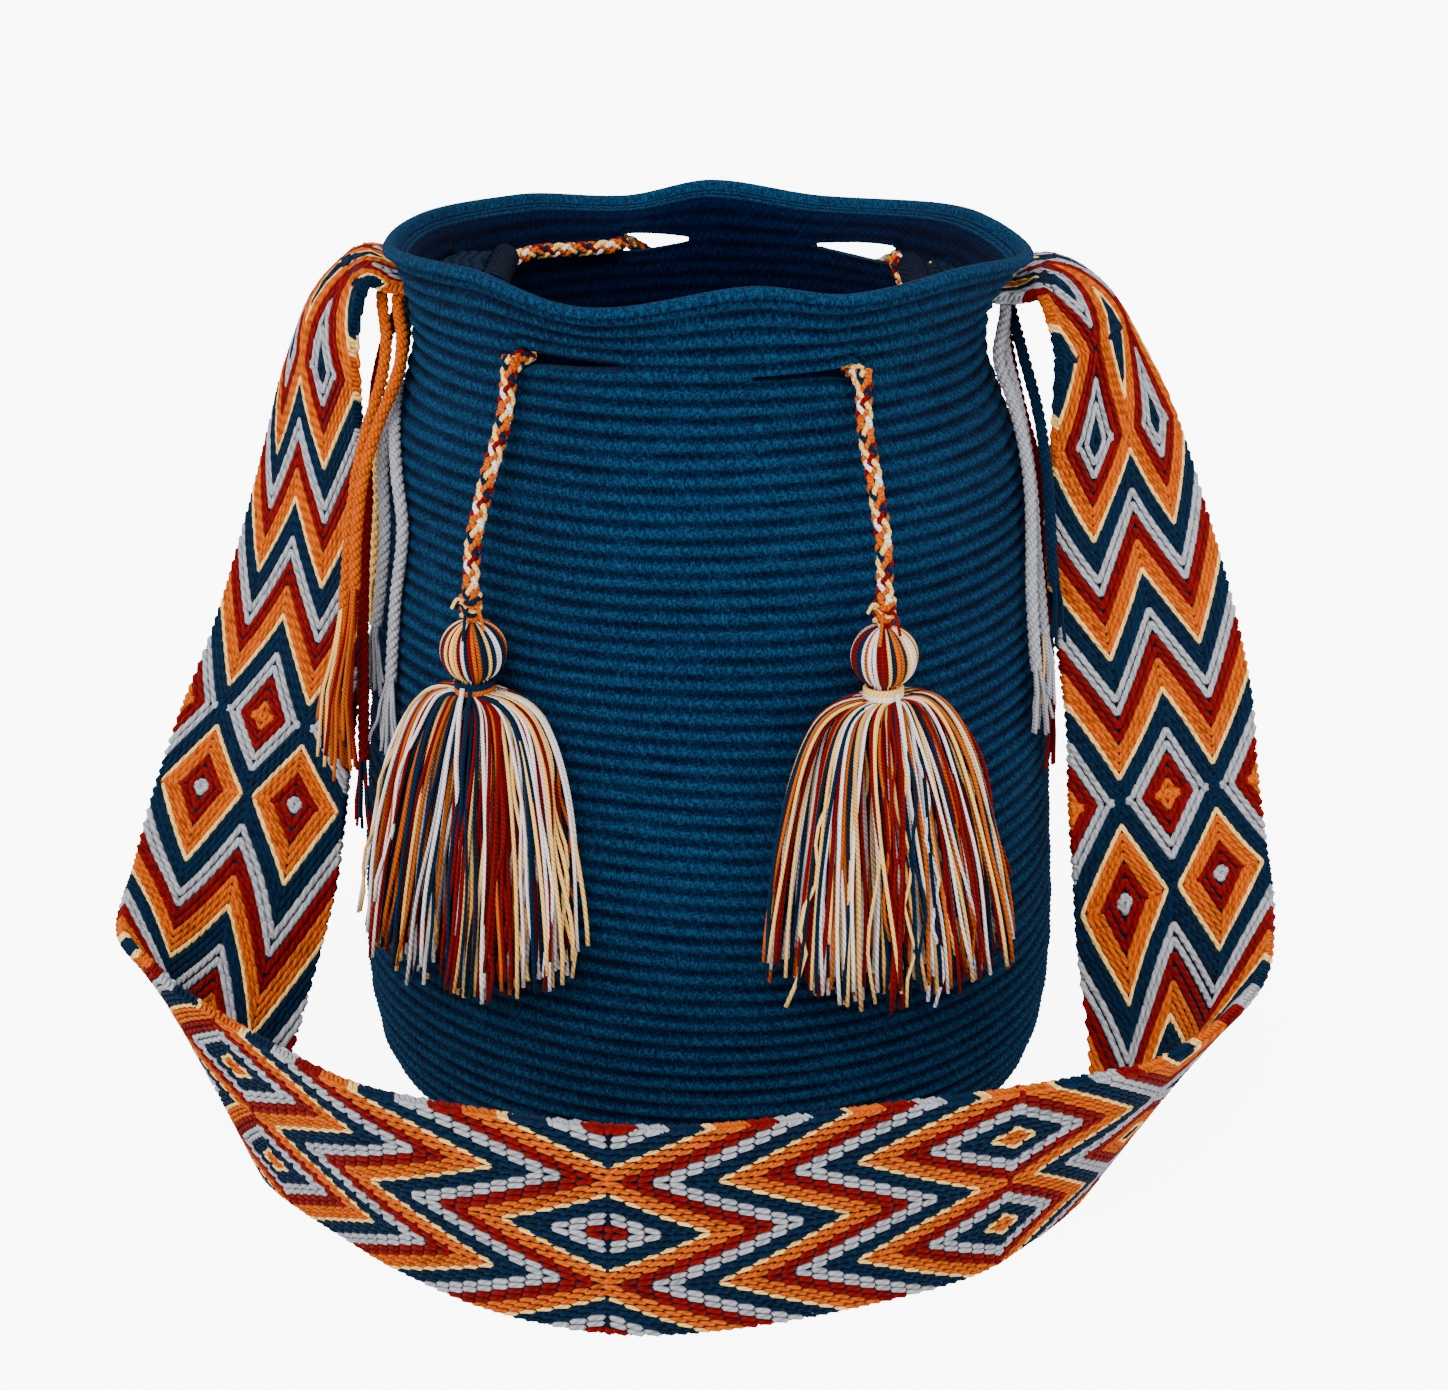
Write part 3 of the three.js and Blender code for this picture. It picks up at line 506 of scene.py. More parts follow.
def maths(tree, operation, *values):
    """The result of one operation on sockets or numbers."""
    return node(tree, "ShaderNodeMath", dict(enumerate(values)), operation=operation).outputs[0]


def ranged(tree, value, low, high, to_low=0.0, to_high=1.0, **settings):
    """A value carried over from one range to another."""
    inputs = {"Value": value, "From Min": low, "From Max": high, "To Min": to_low, "To Max": to_high}
    return node(tree, "ShaderNodeMapRange", inputs, **settings).outputs[0]


def noise(tree, place, scale, detail, roughness=0.5):
    """Soft noise over a place."""
    inputs = {"Vector": place, "Scale": scale, "Detail": detail, "Roughness": roughness}
    return node(tree, "ShaderNodeTexNoise", inputs).outputs["Fac"]


# Mercerised cotton yarn, two plies twisted together: soft, matt, with fine slanting lines where painted
# shade darkens the crease between plies, and a little fuzz
YARN_PLIES = 2
PLY_PITCH = 1.4
FIBRE_WIDTH = 0.35


def cotton_yarn(name, light, dark):
    material, tree = fresh_material(name)
    shade = node(tree, "ShaderNodeAttribute", attribute_name="shade")
    place = node(tree, "ShaderNodeUVMap", uv_map="UVMap")
    split = node(tree, "ShaderNodeSeparateXYZ", {"Vector": place.outputs["UV"]})
    along = maths(tree, "MULTIPLY", split.outputs["Y"], 1 / PLY_PITCH)
    slant = maths(tree, "MULTIPLY_ADD", split.outputs["X"], YARN_PLIES, along)
    ply = maths(tree, "SINE", maths(tree, "MULTIPLY", slant, 2 * math.pi))
    lift = maths(tree, "MULTIPLY_ADD", ply, 0.5, 0.5)
    coords = node(tree, "ShaderNodeTexCoord")
    fibre = noise(tree, coords.outputs["Object"], 1 / (FIBRE_WIDTH * MM * 4), 3.0)
    # Painted shade in the creases between plies, added to each yarn's own random tone
    crease_shade_and_tone = maths(tree, "MULTIPLY_ADD", lift, 0.8, shade.outputs["Fac"])
    level = ranged(tree, maths(tree, "MULTIPLY_ADD", fibre, 0.5, crease_shade_and_tone), 0.35, 1.45)
    colour = node(
        tree, "ShaderNodeMix", {"Factor": level, "A": linear(dark), "B": linear(light)}, data_type="RGBA")
    height = maths(tree, "MULTIPLY_ADD", fibre, 0.4, lift)
    bump = node(tree, "ShaderNodeBump", {"Height": height, "Strength": 0.6, "Distance": 0.35 * MM})
    finish = node(
        tree, "ShaderNodeBsdfPrincipled",
        {"Base Color": colour.outputs["Result"], "Normal": bump.outputs["Normal"], "Roughness": 0.82,
         "IOR": 1.5, "Specular IOR Level": 0.03, "Sheen Weight": 0.02, "Sheen Roughness": 0.5})
    node(tree, "ShaderNodeOutputMaterial", {"Surface": finish.outputs["BSDF"]})
    return material


# Crocheted cotton in tight rows: each row is a soft rope of slanting stitches, fuzzy, with painted shade in
# the groove and, faintly, between the stitches
STITCHES_ROUND = 210
STRAND_WIDTH = 0.75
STRAND_HEIGHT = 1.5


def crocheted_cotton(name, dark, middle, light):
    material, tree = fresh_material(name)
    place = node(tree, "ShaderNodeUVMap", uv_map="UVMap").outputs["UV"]
    split = node(tree, "ShaderNodeSeparateXYZ", {"Vector": place})
    row = maths(tree, "FRACT", split.outputs["Y"])
    off_crest = maths(tree, "ABSOLUTE", maths(tree, "SUBTRACT", row, 0.5))
    groove = ranged(tree, off_crest, 0.1, 0.47, interpolation_type="SMOOTHSTEP")
    ragged = noise(tree, place, 0.55, 2.0)
    slant = maths(tree, "MULTIPLY_ADD", split.outputs["Y"], 0.85, ragged)
    per_mm = STITCHES_ROUND / (2 * math.pi * BELLY_RADIUS)
    count = maths(tree, "MULTIPLY_ADD", split.outputs["X"], per_mm, slant)
    wave = maths(tree, "SINE", maths(tree, "MULTIPLY", count, 2 * math.pi))
    coords = node(tree, "ShaderNodeTexCoord").outputs["Object"]
    finest = 1 / (STRAND_WIDTH * MM)
    stretch = node(
        tree, "ShaderNodeMapping", {"Vector": coords, "Scale": (finest, finest, 1 / (STRAND_HEIGHT * MM))})
    strands = noise(tree, stretch.outputs["Vector"], 1.0, 5.0, roughness=0.75)
    patches = noise(tree, coords, 14.0, 2.0)
    # The stitch wave darkens the colour a little between stitches: painted shade
    stitched = maths(tree, "MULTIPLY_ADD", wave, 0.06, ranged(tree, strands, 0.33, 0.67))
    patchy = node(tree, "ShaderNodeMapping", {"Vector": place, "Scale": (0.05, 0.9, 1)})
    uneven = noise(tree, patchy.outputs["Vector"], 1.0, 2.0)
    # Painted shade: the colour darkens in the groove between rows, by an uneven amount
    deep = maths(tree, "MULTIPLY", groove, ranged(tree, uneven, 0.3, 0.7, 0.45, 1.2))
    groove_shaded_level = maths(tree, "MULTIPLY_ADD", deep, -0.5, stitched)
    worn = maths(tree, "MULTIPLY_ADD", patches, 0.3, groove_shaded_level)
    ramp = node(tree, "ShaderNodeValToRGB", {"Fac": worn})
    ramp.color_ramp.elements[0].color = linear(dark)
    ramp.color_ramp.elements[1].color = linear(light)
    ramp.color_ramp.elements.new(0.5).color = linear(middle)
    lumps = maths(tree, "MULTIPLY_ADD", wave, 0.1, strands)
    bump = node(tree, "ShaderNodeBump", {"Height": lumps, "Strength": 1.0, "Distance": 1.0 * MM})
    finish = node(
        tree, "ShaderNodeBsdfPrincipled",
        {"Base Color": ramp.outputs["Color"], "Normal": bump.outputs["Normal"], "Roughness": 0.92,
         "IOR": 1.5, "Specular IOR Level": 0.02, "Sheen Weight": 0.01, "Sheen Roughness": 0.5})
    node(tree, "ShaderNodeOutputMaterial", {"Surface": finish.outputs["BSDF"]})
    return material


# Plain painted studio floor, matt, and so brightly lit that the camera sees it as white paper
def studio_floor(colour, glare):
    material, tree = fresh_material("studio_floor_paint")
    finish = node(tree, "ShaderNodeBsdfPrincipled", {"Base Color": linear(colour), "Roughness": 0.9})
    ray = node(tree, "ShaderNodeLightPath")
    seen = maths(tree, "MULTIPLY", ray.outputs["Is Camera Ray"], glare)
    paper = node(tree, "ShaderNodeEmission", {"Color": linear(colour), "Strength": seen})
    both = node(tree, "ShaderNodeAddShader", {0: finish.outputs["BSDF"], 1: paper.outputs["Emission"]})
    node(tree, "ShaderNodeOutputMaterial", {"Surface": both.outputs["Shader"]})
    material.cycles.emission_sampling = "NONE"
    return material


def yarn_materials():
    """The cotton yarns, one material for each colour, in the order of YARNS."""
    colours = bpy.context.scene.bag_colours
    made = []
    for name in YARNS:
        title = f"cotton_yarn_{name}"
        found = bpy.data.materials.get(title)
        if found is None:
            found = cotton_yarn(title, getattr(colours, name), getattr(colours, f"{name}_dark"))
        made.append(found)
    return made


# Settings

class BagColours(bpy.types.PropertyGroup):
    orange: hex_colour("Orange", "#c05405", "Light side of the orange yarn")
    orange_dark: hex_colour("Orange shade", "#702c02", "Dark side of the orange yarn")
    red: hex_colour("Red", "#700808", "Light side of the red yarn")
    red_dark: hex_colour("Red shade", "#400202", "Dark side of the red yarn")
    cream: hex_colour("Cream", "#f9c86f", "Light side of the cream yarn")
    cream_dark: hex_colour("Cream shade", "#ad7a3c", "Dark side of the cream yarn")
    grey: hex_colour("Grey", "#a0a1a8", "Light side of the grey yarn")
    grey_dark: hex_colour("Grey shade", "#69696e", "Dark side of the grey yarn")
    navy: hex_colour("Navy", "#031d35", "Light side of the navy yarn")
    navy_dark: hex_colour("Navy shade", "#010a19", "Dark side of the navy yarn")
    white: hex_colour("White", "#ede3e3", "Light side of the white yarn")
    white_dark: hex_colour("White shade", "#958d94", "Dark side of the white yarn")
    crochet: hex_colour("Crochet", "#04203d", "Middle tone of the crochet")
    # Crochet shade is the painted shade that the grooves between rows are darkened to
    crochet_groove_shade: hex_colour("Crochet shade", "#01091a", "Groove of the crochet")
    crochet_light: hex_colour("Crochet light", "#12476a", "Crest of the crochet")
    # Colours of the inside: the crochet darkened as painted shade, for the unlit inner side of the bag
    inside: hex_colour("Inside", "#000721", "Middle tone of the crochet's inner side")
    inside_shaded_dark: hex_colour("Inside shade", "#00030c", "Groove of the crochet's inner side")
    inside_shaded_light: hex_colour("Inside light", "#021838", "Crest of the crochet's inner side")
    floor: hex_colour("Floor", "#fcfcfc", "Colour of the studio floor")


class BagSizes(bpy.types.PropertyGroup):
    row_pitch: bpy.props.FloatProperty(
        name="Row pitch", default=5.8, min=3, max=9,
        description="Height of a row of crochet, in millimetres")
    row_relief: bpy.props.FloatProperty(
        name="Row relief", default=1.1, min=0, max=2,
        description="How far a row stands out, in millimetres")
    stitch_relief: bpy.props.FloatProperty(
        name="Stitch relief", default=0.2, min=0, max=1,
        description="How far a stitch stands out, in millimetres")
    braid_pitch: bpy.props.FloatProperty(
        name="Braid pitch", default=20, min=10, max=40,
        description="One turn of the drawstring's braid, in mm")
    rope_pitch: bpy.props.FloatProperty(
        name="Rope pitch", default=10, min=5, max=30,
        description="One turn of a fringe cord's twist, in mm")
    skirt_strands: bpy.props.IntProperty(
        name="Strands", default=285, min=20, max=300, description="Yarns in the skirt of each tassel")
    yarn: bpy.props.FloatProperty(
        name="Tassel yarn", default=1.4, min=1, max=4,
        description="Thickness of a tassel's yarn, in millimetres")


# Where the camera and the lights stand, in metres, how wide each light is, and the camera's tilt below level
CAMERA_PLACE = (0.006, -0.879, 0.480)
CAMERA_TILT = 21.3
KEY_PLACE = (-0.7, -1.9, 2.2)
KEY_WIDTH = 1.8
FILL_PLACE = (1.7, -1.2, 1.3)
FILL_WIDTH = 1.6
LIGHT_AIM = (0, 0, 0.15)
FLOOR_REACH = 12


class BagStage(bpy.types.PropertyGroup):
    lens: bpy.props.FloatProperty(
        name="Lens", default=59.67, min=20, max=200, description="Focal length, in millimetres")
    pitch: bpy.props.FloatProperty(
        name="Camera pitch", default=math.radians(90 - CAMERA_TILT), subtype="ANGLE",
        description="Tilt of the camera")
    key_power: bpy.props.FloatProperty(
        name="Key power", default=92, min=0, max=500, subtype="POWER",
        description="Power of the large soft light")
    fill_power: bpy.props.FloatProperty(
        name="Fill power", default=9, min=0, max=500, subtype="POWER",
        description="Power of the fill light")
    glare: bpy.props.FloatProperty(
        name="Glare", default=8, min=0, max=30,
        description="How far the camera sees the floor overexposed")
    sky: bpy.props.FloatProperty(
        name="Sky", default=1.3, min=0, max=5, description="Strength of the even light all round")


# Pieces

class BAG_OT_stage(bpy.types.Operator):
    """Camera, pale floor and soft studio light"""

    bl_idname = "bag.stage"
    bl_label = "Stage"

    def execute(self, context):
        settings = context.scene.bag_stage
        camera = bpy.data.objects.new("camera", bpy.data.cameras.new("camera"))
        camera.data.sensor_fit = "HORIZONTAL"
        camera.data.sensor_width = 36
        camera.data.lens = settings.lens
        camera.location = CAMERA_PLACE
        camera.rotation_euler = (settings.pitch, 0, 0)
        context.scene.collection.objects.link(camera)
        context.scene.camera = camera

        bm = bmesh.new()
        bmesh.ops.create_grid(bm, x_segments=2, y_segments=2, size=FLOOR_REACH)
        mesh = bpy.data.meshes.new("floor")
        bm.to_mesh(mesh)
        bm.free()
        mesh.materials.append(studio_floor(context.scene.bag_colours.floor, settings.glare))
        floor = bpy.data.objects.new("floor", mesh)
        context.scene.collection.objects.link(floor)

        lights = [
            ("key", KEY_PLACE, KEY_WIDTH, settings.key_power),
            ("fill", FILL_PLACE, FILL_WIDTH, settings.fill_power),
        ]
        for name, place, size, power in lights:
            light = bpy.data.lights.new(name, "AREA")
            light.shape = "DISK"
            light.size = size
            light.energy = power
            lamp = bpy.data.objects.new(name, light)
            lamp.location = place
            aim = Vector(LIGHT_AIM) - lamp.location
            lamp.rotation_euler = aim.to_track_quat("-Z", "Y").to_euler()
            context.scene.collection.objects.link(lamp)

        world = bpy.data.worlds.new("studio")
        world.use_nodes = True
        sky = world.node_tree.nodes["Background"]
        sky.inputs["Color"].default_value = (1, 1, 1, 1)
        ray = node(world.node_tree, "ShaderNodeLightPath")
        seen = maths(
            world.node_tree, "MULTIPLY_ADD", ray.outputs["Is Camera Ray"], settings.glare, settings.sky)
        world.node_tree.links.new(seen, sky.inputs["Strength"])
        context.scene.world = world
        return {"FINISHED"}


# Braided cord: four pairs of yarns over a core, coloured darkest navy as painted shade between the yarns
BRAID_PAIRS = 4
BRAID_RADIUS = 1.78
BRAID_WAVE = 0.38
BRAID_YARN_RADIUS = 1.0
BRAID_STEP = 0.95
BRAID_ORDER = ["orange", "cream", "orange", "red", "white", "orange", "navy", "cream"]
BRAID_SHADES = (0.55, 0.5, 0.4, 0.5, 0.55, 0.6, 0.45, 0.6)
# Cores are darkest navy: painted shade where they show between the yarns
CORE_GAP_SHADE = 0.0
# How far a tassel's head and skirt keep off the wall
TASSEL_CLEARANCE = 1.5


def braid_mesh(path, pitch):
    steps = max(12, int(round(travelled(path)[-1] / BRAID_STEP)))
    line = even(path, steps)
    yarns = braided(line, BRAID_PAIRS, BRAID_RADIUS, BRAID_WAVE, pitch)
    core = line[None]
    colours = [YARNS.index(name) for name in BRAID_ORDER] + [YARNS.index("navy")]
    radii = np.array([BRAID_YARN_RADIUS] * len(yarns) + [BRAID_RADIUS])
    shade = np.array([*BRAID_SHADES, CORE_GAP_SHADE])
    return swept(np.concatenate([yarns, core]), radii, colours, sides=5, shade=shade)


def leg_path(side):
    """The hanging leg of the drawstring on one side, from its slot to its knot."""
    bearing, lean = TASSELS[side]
    top = FRONT_SLOT_Z[side] + CORD_DIAMETER / 4
    head_top = head_height(side)
    head_out = head_distance(head_top)
    t = np.array([0, 0.25, 0.5, 0.75, 1])
    z = top - LEG_LENGTH[side] * t
    settle = wall_radius(head_top) + head_out - wall_radius(z) - CORD_OUTSIDE
    return spline(off_wall(bearing + lean * t, CORD_OUTSIDE + settle * smooth(t), z), 60)


def head_height(side):
    """Height of the top of a tassel's head."""
    return FRONT_SLOT_Z[side] + CORD_DIAMETER / 4 - LEG_LENGTH[side] - KNOT_HEIGHT - 2 * FIT_GAP


def head_distance(head_top):
    """How far a tassel's axis stands off the wall, measured at the top of its head."""
    rest = np.maximum(wall_radius(head_top - HEAD_DIAMETER), wall_radius(head_top)) - wall_radius(head_top)
    return rest + TASSEL_CLEARANCE + HEAD_DIAMETER / 2


class BAG_OT_drawstring(bpy.types.Operator):
    """The drawstring's run through the slots, inside the neck and across the back"""

    bl_idname = "bag.drawstring"
    bl_label = "Drawstring"

    def execute(self, context):
        sizes = context.scene.bag_sizes
        route = np.array(DRAWSTRING_ROUTE, float)
        path = spline(off_wall(route[:, 0], route[:, 1], route[:, 2]), 900)
        run = add_piece(
            "drawstring_run", braid_mesh(path, sizes.braid_pitch), yarn_materials(), "root",
            ["drawstring"])
        return {"FINISHED"}


# Twisted cords of the fringe: three plies
ROPE_PLIES = 3
ROPE_DIAMETER = 4.8
ROPE_PLY_RADIUS = 1.25
ROPE_STEP = 1.0
ROPE_SHADES = (0.4, 0.5, 0.6)

# Where each cord has come apart: cord lost, length hanging on below it, flare, yarns and their colours
FRAY_STEPS = 18
FRAY_POINTS = 200
FRAY_RADIUS = 0.65
FRAY_SEED = 31
# Loose yarns start inside the whole cord, a little apart, and those towards the wall spread less
FRAY_OVERLAP = 2
FRAY_ROOT = 1.3
FRAY_EASE = 1.3
FRAY_TO_WALL = 0.25
FRAY = {
    "left_fringe_orange_front": (42, 32, 9, 20, ("orange", "orange", "orange", "red")),
    "left_fringe_orange_back": (30, 30, 9, 18, ("orange", "orange", "cream", "orange", "navy")),
    "left_fringe_red": (8, 22, 5, 10, ("red", "red", "navy")),
    "left_fringe_cream": (6, 12, 4, 8, ("cream",)),
    "left_fringe_grey_front": (10, 18, 8, 14, ("grey",)),
    "left_fringe_grey_back": (4, 24, 6, 12, ("grey",)),
    "right_fringe_grey_front": (8, 18, 8, 14, ("grey",)),
    "right_fringe_grey_back": (8, 19, 7, 12, ("grey", "grey", "cream")),
    "right_fringe_navy": (6, 18, 4, 8, ("navy",)),
    "right_fringe_red": (6, 16, 4, 8, ("red",)),
}


class BAG_OT_fringe(bpy.types.Operator):
    """Twisted cords left long at the strap's two ends"""

    bl_idname = "bag.fringe"
    bl_label = "Fringe"

    def execute(self, context):
        pitch = context.scene.bag_sizes.rope_pitch
        for name, (colour, points) in FRINGE.items():
            side = name.split("_")[0]
            route = np.array(points, float)
            route[:, 2] = STRAP_Z[side] - route[:, 2]
            whole = even(spline(route, 300), 600)
            loose, below, flare, count, mix = FRAY[name]
            whole_at = travelled(whole)
            path = whole[whole_at < whole_at[-1] - loose]
            tail = whole[whole_at >= whole_at[-1] - loose - FRAY_OVERLAP]
            steps = int(round(travelled(path)[-1] / ROPE_STEP))
            reach = ROPE_DIAMETER / 2 - ROPE_PLY_RADIUS
            lines = twisted(even(path, steps), ROPE_PLIES, reach, pitch)
            colours = [YARNS.index(colour)] * ROPE_PLIES
            radii = np.full(ROPE_PLIES, ROPE_PLY_RADIUS)
            mesh = swept(lines, radii, colours, shade=np.array(ROPE_SHADES))
            rope = add_piece(
                f"{name}_cord", mesh, yarn_materials(), "root", [name])
            tail = np.vstack([tail, tail[-1] - np.array([0, 0, below])])
            ends = self.fray(name, tail, flare, count, mix, f"yarn_{colour}")
        return {"FINISHED"}

    def fray(self, name, tail, flare, count, mix, slot):
        """Loose yarns where a cord has come apart, spread away from the bag's wall."""
        rng = np.random.default_rng(FRAY_SEED + list(FRAY).index(name))
        base = even(tail, FRAY_POINTS)
        steps = np.arange(FRAY_POINTS)
        t = np.linspace(0, 1, FRAY_STEPS)
        away = unit(base.mean(axis=0) * np.array([1, 1, 0]))
        beside = np.array([-away[1], away[0], 0])
        paths = []
        for _ in range(count):
            at = t * rng.uniform(0.72, 1) * (FRAY_POINTS - 1)
            line = np.stack([np.interp(at, steps, base[:, k]) for k in range(3)], axis=-1)
            turn = rng.uniform(0, 2 * math.pi)
            spread = FRAY_ROOT + flare * rng.uniform(0.15, 1) * t ** FRAY_EASE
            swing = rng.uniform(0.3, 1.6)
            phase = rng.uniform(0.7, 2) * t + rng.uniform(0, 1)
            curl = swing * np.sin(2 * math.pi * phase) * t
            out = (1.0 if math.cos(turn) > 0 else FRAY_TO_WALL) * math.cos(turn) * spread
            sideways = math.sin(turn) * spread + curl
            paths.append(line + out[:, None] * away + sideways[:, None] * beside)
        colours = [YARNS.index(mix[k % len(mix)]) for k in range(count)]
        shade = np.clip(rng.normal(0.5, 0.15, count), 0, 1)
        mesh = swept(paths, np.full(count, FRAY_RADIUS), colours, sides=5, shade=shade)
        return add_piece(f"{name}_loose_ends", mesh, yarn_materials(), "root")


# Body: columns of half stitches round the bag, rings up its outside, over its rim and down its inside
COLUMNS = 360
SEAM_BEARING = 135.0
RINGS_PER_ROW = 4
# The topmost groove lies nearer to the rim than a whole row
RIM_SHIFT = 1.8
ROW_PROFILE = np.array([-1.0, 0.05, 1.0, 0.25])
BASE_RINGS = (0.01, 20, 45, 70, 90, 102)
FLOOR_RINGS = (112, 60, 0.01)
# The rim is rolled over from its outside to its inside through these turns in degrees
LIP_TURNS = (-22, 12, 46, 80, 114, 150, 188)
LIP_REACH = 2.7
LIP_RISE = 2.6
# Heights of the rings down the inside, close together where the slots and strap holes are
INNER_HEIGHTS = [
    312, 308, *np.arange(305.4, 283, -1.45), 279, 272, 262, 250, 235, 215, 190, 160, 125, 90, 55, 28, 13,
]
# Rings of the rim that no slot cuts, the opening that moves no rows, and how far off a slot moves rows
RIM_RINGS = 9
ROW_GAP = 0.72
SPREAD_REACH = 8
SLOT_END_EASE = 0.1
SLOT_END_MARGIN = 0.07
# Unevenness of the rows: a slow tilt that fades at the foot and under the rim, wobble, and dipping stitches
ROW_TILT = 1.5
TILT_FOOT = 20
TILT_FADE = 40
TILT_TOP = 8
ROW_WOBBLE = 0.25
STITCH_DIP = 0.25
LUMP_ROWS = 80
BODY_SEED = 7
WELD = 0.02


def body_rings(sizes):
    """Radius, height, outward direction, row count and relief of each ring, from the base to the inside."""
    corner = np.linspace(0, 1, 200)[:-1] ** 2 * BELLY_HEIGHT
    z = np.concatenate([corner, np.linspace(BELLY_HEIGHT, BAG_HEIGHT, 600)])
    outline = np.stack([wall_radius(z), z], axis=-1)
    s = travelled(outline)
    rows = int(round(s[-1] / sizes.row_pitch))
    at = np.linspace(0, s[-1] + RIM_SHIFT, rows * RINGS_PER_ROW + 1)
    wall = np.stack([np.interp(at, s, outline[:, k]) for k in range(2)], axis=-1)
    way = unit(np.gradient(wall, axis=0))
    facing = np.stack([way[:, 1], -way[:, 0]], axis=-1)
    count = np.arange(len(at)) / RINGS_PER_ROW
    relief = ROW_PROFILE[np.arange(len(at)) % RINGS_PER_ROW]
    wall, facing, count, relief = (v[:-RINGS_PER_ROW] for v in (wall, facing, count, relief))

    base = np.array([[r, 0.0] for r in BASE_RINGS])
    lip_turn = np.radians(np.array(LIP_TURNS))
    lip_radius = RIM_RADIUS - WALL / 2 + LIP_REACH * np.cos(lip_turn)
    lip = np.stack([lip_radius, BAG_HEIGHT - LIP_RISE + LIP_RISE * np.sin(lip_turn)], axis=-1)
    inner_z = np.array(INNER_HEIGHTS, float)
    inner = np.stack([wall_radius(inner_z) - WALL, inner_z], axis=-1)
    floor = np.array([[r, BASE_THICKNESS] for r in FLOOR_RINGS])
    rest = [
        (base, (0, -1), np.linspace(-18, -1, len(base)), 0),
        (lip, (0, 1), np.linspace(rows + 0.3, rows + 0.7, len(lip)), 0),
        (inner, (-1, 0), inner_z / sizes.row_pitch, 0.5),
        (floor, (0, 1), np.array([0.6, 0.3, 0.0]), 0),
    ]
    blocks = []
    for part, outwards, row_count, height in rest:
        ways = np.tile(np.array(outwards, float), (len(part), 1))
        blocks.append((part, ways, row_count, np.full(len(part), float(height))))
    ordered = [blocks[0], (wall, facing, count, relief), *blocks[1:]]
    outer_first = len(base)
    inner_first = len(base) + len(wall) + len(lip)
    return [np.concatenate(part) for part in zip(*ordered)], outer_first, inner_first


def slot_list():
    """Each opening in the wall: bearings of its ends, its height and half its opening at steps along it."""
    openings = list(SLOTS)
    low, high = (STRAP_END_BACKSET + sign * STRAP_END_WIDTH / 2 for sign in (-1, 1))
    for side, sign in (("left", -1), ("right", 1)):
        reach = sign * wall_radius(STRAP_Z[side])
        ends = [math.degrees(math.atan2(y, reach)) for y in (low, high)]
        openings.append((ends[0], ends[1], STRAP_Z[side], (STRAP_HOLE_HEIGHT / 2,) * 2))
    return openings


def opened(bearing, z, openings):
    """Heights after the rows have been spread apart round each opening."""
    result = z.copy()
    for first, last, middle, halves in openings:
        span = (last - first + 180) % 360 - 180
        along = ((bearing - first + 180) % 360 - 180) / span
        inside = smooth((along + SLOT_END_MARGIN) / SLOT_END_EASE)
        inside = inside * smooth((1 + SLOT_END_MARGIN - along) / SLOT_END_EASE)
        half = np.interp(along, np.linspace(0, 1, len(halves)), halves) * inside
        gap = z - middle
        push = np.maximum(half - ROW_GAP, 0) * np.exp(-(gap / SPREAD_REACH) ** 2)
        result = result + np.where(gap > 0, push, -push)
    return result


